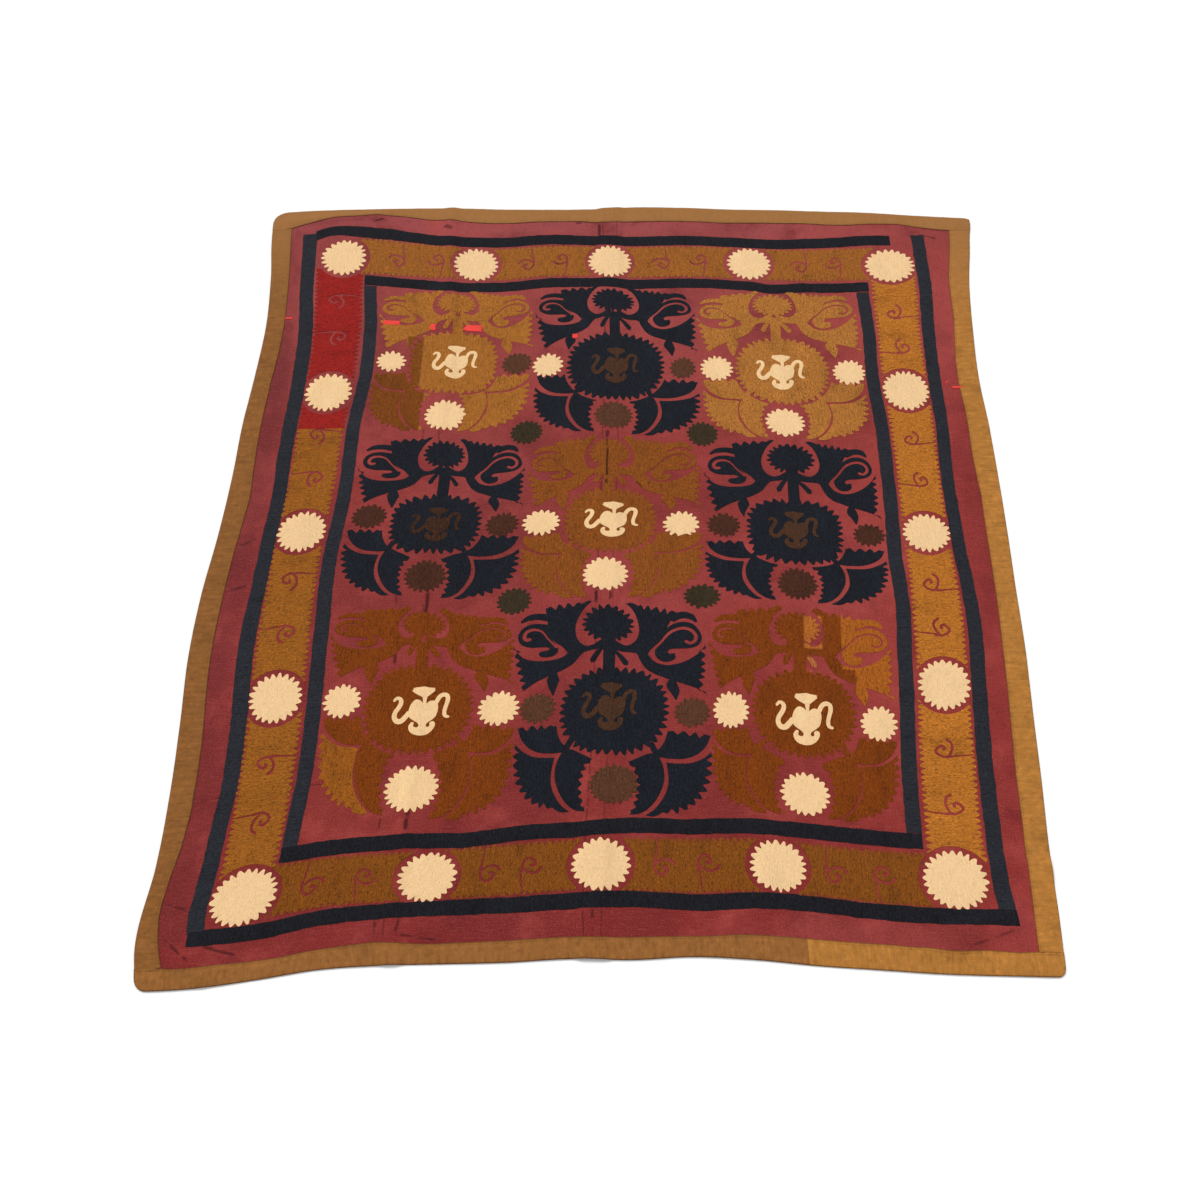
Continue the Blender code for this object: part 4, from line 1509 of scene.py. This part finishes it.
BLOCKS = {
    # upper part across: left, ring left, stem, ring right, right
    # lower part across: left, disc left, disc right, right
    # along: top, ring low, arms low, crest, fork, bottom
    # disc: middle across, along, half width, half length, squareness; tilts of the two parts; thread
    "top_left": ((-617, -479, -411, -354, -215), (-613, -533, -324, -221), (724, 646, 534, 451, 414, 286),
                 (-417, 495, 113, 98, 3.2), (0.0, 0.0), "ochre_mid"),
    "top_middle": ((-214, -79, -11, 54, 201), (-206, -121, 99, 200), (728, 641, 522, 429, 384, 264),
                   (-8, 473, 124, 109, 2.3), (0.04, 0.06), "black"),
    "top_right": ((197, 333, 399, 460, 617), (210, 297, 517, 612), (724, 639, 524, 427, 381, 260),
                  (410, 470, 120, 108, 2.2), (-0.035, -0.015), "ochre_light"),
    "middle_left": ((-612, -472, -404, -353, -212), (-612, -528, -317, -214), (259, 168, 69, -12, -56, -175),
                    (-411, 22, 106, 81, 3.0), (0.052, 0.072), "black"),
    "centre": ((-211, -80, -18, 43, 203), (-209, -124, 98, 200), (249, 157, 54, -28, -67, -194),
               (-11, 14, 109, 92, 2.4), (0.02, 0.0), "ochre_centre"),
    "middle_right": ((204, 341, 413, 478, 613), (207, 294, 517, 611), (248, 148, 33, -52, -86, -197),
                     (410, -6, 111, 91, 2.9), (0.008, 0.008), "black"),
    "bottom_left": ((-617, -470, -411, -353, -206), (-612, -531, -290, -202),
                    (-207, -279, -384, -486, -531, -691),
                    (-412, -446, 119, 109, 2.2), (0.105, 0.12), "ochre_dark"),
    "bottom_middle": ((-215, -80, -5, 59, 210), (-197, -110, 123, 220), (-213, -320, -434, -526, -576, -715),
                      (10, -478, 118, 106, 2.4), (0.06, 0.075), "black"),
    "bottom_right": ((209, 340, 408, 464, 613), (222, 297, 532, 612), (-218, -312, -428, -528, -572, -709),
                     (416, -471, 113, 107, 2.2), (0.02, 0.0), "ochre_dark"),
}

# Where an ochre block changes to another lot of thread: its box in metres and the dye
TOP_LEFT_PATCHES = (
    ((-0.5350, -0.4945, 0.400, 0.570), dye(138, 76, 20)),
    ((-0.6200, -0.5120, 0.400, 0.454), dye(134, 72, 18)),
    ((-0.6200, -0.4770, 0.270, 0.406), dye(134, 72, 18)),
)
LOWER_PATCHES = (
    ((0.4200, 0.4590, -0.316, -0.233), dye(196, 112, 42)),
    ((0.4250, 0.4560, -0.374, -0.338), dye(190, 112, 58)),
    ((0.5005, 0.6200, -0.362, -0.215), dye(180, 99, 28)),
    ((0.5290, 0.6200, -0.450, -0.360), dye(180, 99, 28)),
)
ORANGE_LEAF = "bottom_left"     # the block whose left outer leaf is of a brighter thread
# How far the plain edges of each ochre lot fill in
GROWTH = {"ochre_light": 2.4, "ochre_mid": 2.6, "ochre_centre": 3.4, "ochre_dark": 2.8}


def widened(line, by):
    """A charted ribbon with its widths changed."""
    points, widths = line
    return ribbon(points, [max(2.0, width + by) for width in widths])


def upper_drawing(chance, grow):
    """The palmette, the two unlike curled arms, the small leaves and the buds."""
    drawing = Drawing()
    drawing.fill(scalloped(*PALMETTE, *PALMETTE_TEETH, chance, FINGER))
    for arm, hook, slit, horn in ((LEFT_ARM, LEFT_HOOK, LEFT_SLIT, LEFT_HORN),
                                  (RIGHT_ARM, RIGHT_HOOK, RIGHT_SLIT, RIGHT_HORN)):
        drawing.fill(outline(arm, chance, grow), smooth_line(hook + hook[:1], 4.0)[:-1])
        drawing.cut(widened(slit, -grow))
        drawing.fill(widened(horn, grow / 2))
    drawing.fill(*(widened(leaf, grow / 2) for leaf in SMALL_LEAVES), *(widened(bud, grow) for bud in BUDS))
    return drawing


def lower_drawing(chance, grow):
    """The crescents and leaves on both sides of the disc, the left outer leaf, and the links to the disc."""
    drawing, leaf, links = Drawing(), Drawing(), Drawing()
    for side in (1, -1):
        flip = np.array([side, 1])
        drawing.fill(outline(CRESCENT, chance, grow, *CRESCENT_TEETH) * flip)
        (leaf if side == 1 else drawing).fill(outline(OUTER_LEAF, chance, grow, *OUTER_TEETH) * flip)
        drawing.fill(outline(INNER_LEAF, chance, grow, *INNER_TEETH) * flip)
        links.fill(ribbon(*DISC_LINK) * flip)
    return drawing, leaf, links


def medallion(block, chance):
    """One medallion's drawing, its chart stretched to the block's own measures, and its left outer leaf."""
    upper, lower, levels, disc, tilts, thread = block
    grow = GROWTH.get(thread, 0.0)
    stem, top = upper[2], levels[0]

    def stretched(charted, across, tilt):
        def place(points):
            u = np.interp(points[:, 0], charted, across)
            u = u + np.minimum(points[:, 0] - charted[0], 0) + np.maximum(points[:, 0] - charted[-1], 0)
            v = np.interp(points[:, 1], CHART_TOP, levels) - np.minimum(points[:, 1], 0)
            return np.column_stack([u, v - tilt * (u - stem)])
        return place

    drawing = upper_drawing(chance, grow).placed(stretched(UPPER_ACROSS, upper, tilts[0]))
    place = stretched(LOWER_ACROSS, lower, tilts[1])
    below, leaf, links = (part.placed(place) for part in lower_drawing(chance, grow))
    drawing.add(below)
    ring = DISC_RING - grow
    drawing.cut(oval(disc[:2], (disc[2] + ring, disc[3] + ring), 60, disc[4]))
    teeth = round(math.pi * (disc[2] + disc[3]) / DISC_PITCH)
    drawing.fill(scalloped(disc[:2], disc[2:4], teeth, DISC_DEPTH, chance, FINGER, disc[4]))
    stem_line = ((stem, top - STEM_FROM), (stem, disc[1] + disc[3] - STEM_TUCK))
    drawing.fill(ribbon(stem_line, (STEM_WIDTH, STEM_WIDTH), False))
    drawing.add(links)
    return drawing, leaf


class SUZANI_OT_medallions(bpy.types.Operator):
    """Add the nine medallions with their palmettes, arms, leaves and discs"""

    bl_idname = "suzani.medallions"
    bl_label = "Medallions"

    def execute(self, context):
        sizes = context.scene.cover_sizes
        threads = {
            "black": couched_thread("medallion_black", dye(26, 29, 37), highlight_and_tone=dye(41, 47, 60)),
            "ochre_light": couched_thread("medallion_ochre_light", dye(190, 122, 53)),
            "ochre_mid": couched_thread("medallion_ochre_mid", dye(181, 113, 43), patches=TOP_LEFT_PATCHES),
            "ochre_centre": couched_thread("medallion_ochre_centre", dye(150, 82, 26), fold_shades=MIDDLE_FOLD_SHADES),
            "ochre_orange": couched_thread("medallion_ochre_orange", dye(168, 96, 26)),
            "ochre_dark": couched_thread("medallion_ochre_dark", dye(136, 64, 7), patches=LOWER_PATCHES),
        }
        for number, (name, block) in enumerate(BLOCKS.items()):
            chance = random.Random(sizes.chance + 10 + number)
            slot = "thread_black" if block[-1] == "black" else "thread_ochre"
            drawing, leaf = medallion(block, chance)
            rises = sizes.thread_rise, sizes.thread_rise * EDGE_SHARE
            if name == ORANGE_LEAF:
                embroider("medallion_" + name + "_leaf", leaf, threads["ochre_orange"], slot, *rises)
            else:
                drawing.add(leaf)
            embroider("medallion_" + name, drawing, threads[block[-1]], slot, *rises)
        return {"FINISHED"}


# ---------------------------------------------------------------------------------------------
# Rosettes of the field
# ---------------------------------------------------------------------------------------------

# Across, along, half width, half length, in millimetres
CREAM_ROSETTES = (
    (-573, 494, 37, 31), (-419, 333, 50, 45), (-178, 478, 38, 37), (246, 467, 41, 39), (577, 470, 41, 39),
    (405, 309, 48, 42), (-168, 12, 43, 35), (152, 1, 41, 36), (-17, -134, 51, 44), (-576, -421, 40, 39),
    (-239, -457, 45, 41), (-407, -630, 57, 51), (260, -476, 39, 43), (575, -484, 39, 41), (416, -658, 51, 48),
)
BROWN_ROSETTES = (
    (-256, 491, 38, 35), (161, 466, 33, 34), (-10, 318, 47, 41), (-565, 43, 41, 33), (-258, 15, 38, 34),
    (-418, -118, 47, 42), (249, 1, 39, 33), (578, -7, 37, 31), (409, -148, 45, 42), (-155, -464, 39, 36),
    (177, -483, 39, 36), (17, -649, 53, 45),
)
DARK_ROSETTES = (((-0.62, 0.62, -0.20, 0.10), dye(80, 44, 30)),)     # the middle row's browner lot
GREEN_ROSETTES = ((-218, 275, 39, 35), (204, 262, 38, 36), (-217, -193, 39, 35), (197, -193, 41, 32))


class SUZANI_OT_rosettes(bpy.types.Operator):
    """Add the field's cream, brown and green rosettes"""

    bl_idname = "suzani.rosettes"
    bl_label = "Field rosettes"

    def execute(self, context):
        sizes, colours = context.scene.cover_sizes, context.scene.cover_colours
        kinds = (
            ("cream", CREAM_ROSETTES, PETAL, 15.5, 9.5, tuple(colours.cream), (), 0.3),
            ("brown", BROWN_ROSETTES, FINGER, 14.0, 8.5, tuple(colours.brown), DARK_ROSETTES, 1.0),
            ("green", GREEN_ROSETTES, FINGER, 14.0, 8.0, tuple(colours.green), (), 1.0),
        )
        for number, (name, rosettes, tooth, pitch, depth, colour, patches, shade) in enumerate(kinds):
            chance = random.Random(sizes.chance + 30 + number)
            drawing = Drawing()
            for x, y, wide, long in rosettes:
                teeth = round(math.pi * (wide + long) / pitch)
                drawing.fill(scalloped((x, y), (wide + 1, long + 1), teeth, depth, chance, tooth))
            thread = couched_thread(name + "_rosette_thread", colour, patches=patches, shade=shade)
            embroider("rosettes_" + name, drawing, thread, "thread_" + name,
                      sizes.thread_rise * 1.1, sizes.thread_rise * 0.7)
        return {"FINISHED"}


# ---------------------------------------------------------------------------------------------
# Ewers
# ---------------------------------------------------------------------------------------------

EWER_BODY = ((2, -13), (-4, -19), (-12, -21), (-19, -16), (-24, -6), (-26, 7), (-23, 16), (-14, 23), (-6, 28),
             (-2, 34), (9, 34), (12, 28), (19, 23), (27, 16), (31, 6), (32, -6), (29, -15), (22, -19),
             (14, -18), (8, -13))
EWER_NECK = ((-21, -39), (-18, -46), (-8, -47), (2, -49), (12, -47), (23, -46), (24, -40), (16, -33),
             (9, -27), (8, -18), (8, -10), (2, -10), (1, -18), (0, -26), (-8, -30), (-15, -34))
EWER_SPOUT = (((-56, -20), (-51, -26), (-44, -24), (-42, -16), (-46, -6), (-52, 4), (-53, 14), (-48, 22),
               (-39, 22), (-31, 14), (-25, 5)),
              (5, 7, 9, 9, 9, 9, 10, 11, 11, 11, 9))
EWER_HANDLE = (((27, -14), (33, -26), (41, -31), (49, -28), (50, -18), (47, -6), (45, 5), (47, 14), (54, 16)),
               (9, 9, 9, 9, 9, 8, 8, 8, 5))
EWER_FOOT = ((-18, 26), (-23, 33), (-22, 42), (-15, 50), (-2, 54), (12, 52), (22, 45), (28, 35), (28, 27),
             (22, 24), (17, 28), (18, 34), (12, 36), (9, 30), (-1, 30), (-5, 37), (-13, 36), (-14, 31),
             (-12, 27))
EWERS = (
    # across, along, width, length against the chart, thread
    (-412, 499, 1.0, 1.0, "cream"),
    (-9, 475, 1.03, 1.10, "brown"),
    (406, 468, 1.05, 1.08, "cream"),
    (-409, 22, 1.0, 0.90, "brown"),
    (-7, 16, 1.08, 0.95, "cream"),
    (409, 0, 1.0, 1.0, "brown"),
    (-403, -450, 1.08, 1.12, "cream"),
    (0, -466, 1.05, 1.12, "brown"),
    (418, -482, 1.08, 1.2, "cream"),
)
DARK_EWER = (((-0.48, -0.34, -0.05, 0.09), dye(62, 38, 27)),)     # the middle row's left one


def ewer_drawing():
    """One ewer about its middle, y down."""
    drawing = Drawing()
    for part in (EWER_BODY, EWER_FOOT):
        drawing.fill(smooth_line(part + part[:1], 4.0)[:-1])
    drawing.fill(np.array(EWER_NECK, float), ribbon(*EWER_SPOUT), ribbon(*EWER_HANDLE))
    return drawing


class SUZANI_OT_ewers(bpy.types.Operator):
    """Add an ewer on each medallion's disc"""

    bl_idname = "suzani.ewers"
    bl_label = "Ewers"

    def execute(self, context):
        sizes, colours = context.scene.cover_sizes, context.scene.cover_colours
        threads = {
            "cream": couched_thread("ewer_cream_thread", tuple(colours.cream), shade=0.35),
            "brown": couched_thread("ewer_brown_thread", dye(80, 52, 36), highlight_and_tone=dye(106, 62, 32),
                                    patches=DARK_EWER),
        }
        for kind in ("cream", "brown"):
            drawing = Drawing()
            for x, y, wide, long, thread in EWERS:
                if thread == kind:
                    drawing.add(ewer_drawing().placed(
                        lambda points: np.column_stack([x + points[:, 0] * wide, y - points[:, 1] * long])))
            embroider("ewers_" + kind, drawing, threads[kind], "thread_" + kind,
                      sizes.ewer_rise, sizes.ewer_rise * 0.7, GROUND_THICKNESS + sizes.thread_rise, 6.0)
        return {"FINISHED"}


# ---------------------------------------------------------------------------------------------
# Mending
# ---------------------------------------------------------------------------------------------

# Coral bars and knots, each of nearly level stitches: across, along, width, length, in millimetres
CORAL_MARKS = (
    (-838, 624, 22, 4), (-582, 616, 40, 12), (-475, 607, 13, 20), (-372, 607, 46, 19), (-112, 568, 13, 13),
    (820, 437, 5, 5), (845, 421, 30, 5),
)
CORAL_STITCH = 3.6                # thickness of one stitch
CORAL_SLIPS, CORAL_TILT = (-0.09, 0.07), 0.9     # a stitch's ends as shares of its length, its slant
CORAL_OVERLAP = 1.04


class SUZANI_OT_mending(bpy.types.Operator):
    """Add the coral mending stitches"""

    bl_idname = "suzani.mending"
    bl_label = "Mending"

    def execute(self, context):
        sizes, colours = context.scene.cover_sizes, context.scene.cover_colours
        chance = random.Random(sizes.chance + 50)
        coral = couched_thread("coral_thread", tuple(colours.coral), True, shade=0.4)
        drawing = Drawing()
        for x, y, wide, long in CORAL_MARKS:
            rows = max(1, round(long / CORAL_STITCH))
            for row in range(rows):
                level = y + long / 2 - (row + 0.5) * long / rows
                near, far = (x + way * wide / 2 + chance.uniform(*CORAL_SLIPS) * wide * way
                             for way in (-1, 1))
                tilt = chance.uniform(-CORAL_TILT, CORAL_TILT)
                thick = long / rows * CORAL_OVERLAP
                drawing.fill(ribbon(((near, level - tilt), (far, level + tilt)), (thick, thick), False))
        embroider("coral_mending", drawing, coral, "thread_coral", sizes.thread_rise * 1.3,
                  sizes.thread_rise, GROUND_THICKNESS + sizes.thread_rise * 0.4, 4.0)
        return {"FINISHED"}


class SUZANI_OT_declare(bpy.types.Operator):
    """Change nothing"""

    bl_idname = "suzani.declare"
    bl_label = "Declare the cloth"

    def execute(self, context):
        return {"FINISHED"}


class SUZANI_PT_panel(bpy.types.Panel):
    """Lists the steps that make the cover"""

    bl_label = "Suzani"
    bl_idname = "SUZANI_PT_panel"
    bl_space_type = "VIEW_3D"
    bl_region_type = "UI"
    bl_category = "Suzani"

    def draw(self, context):
        for step in STEPS:
            self.layout.operator(step.bl_idname)
        for group in (context.scene.cover_sizes, context.scene.cover_colours, context.scene.cover_stage):
            box = self.layout.box()
            for key in group.bl_rna.properties.keys():
                if key not in ("rna_type", "name"):
                    box.prop(group, key)


STEPS = (
    SUZANI_OT_stage,
    SUZANI_OT_ground,
    SUZANI_OT_bindings,
    SUZANI_OT_bands,
    SUZANI_OT_border,
    SUZANI_OT_medallions,
    SUZANI_OT_rosettes,
    SUZANI_OT_ewers,
    SUZANI_OT_mending,
    SUZANI_OT_declare,
)
GROUPS = {"cover_sizes": CoverSizes, "cover_colours": CoverColours, "cover_stage": StageSettings}
CLASSES = tuple(GROUPS.values()) + STEPS + (SUZANI_PT_panel,)


def register():
    for item in CLASSES:
        bpy.utils.register_class(item)
    for name, group in GROUPS.items():
        setattr(bpy.types.Scene, name, PointerProperty(type=group))


def unregister():
    for name in GROUPS:
        delattr(bpy.types.Scene, name)
    for item in reversed(CLASSES):
        bpy.utils.unregister_class(item)


def main():
    register()
    bpy.ops.suzani.stage()
    bpy.ops.suzani.ground()
    bpy.ops.suzani.bindings()
    bpy.ops.suzani.bands()
    bpy.ops.suzani.border()
    bpy.ops.suzani.medallions()
    bpy.ops.suzani.rosettes()
    bpy.ops.suzani.ewers()
    bpy.ops.suzani.mending()
    bpy.ops.suzani.declare()


if __name__ == "__main__":
    main()
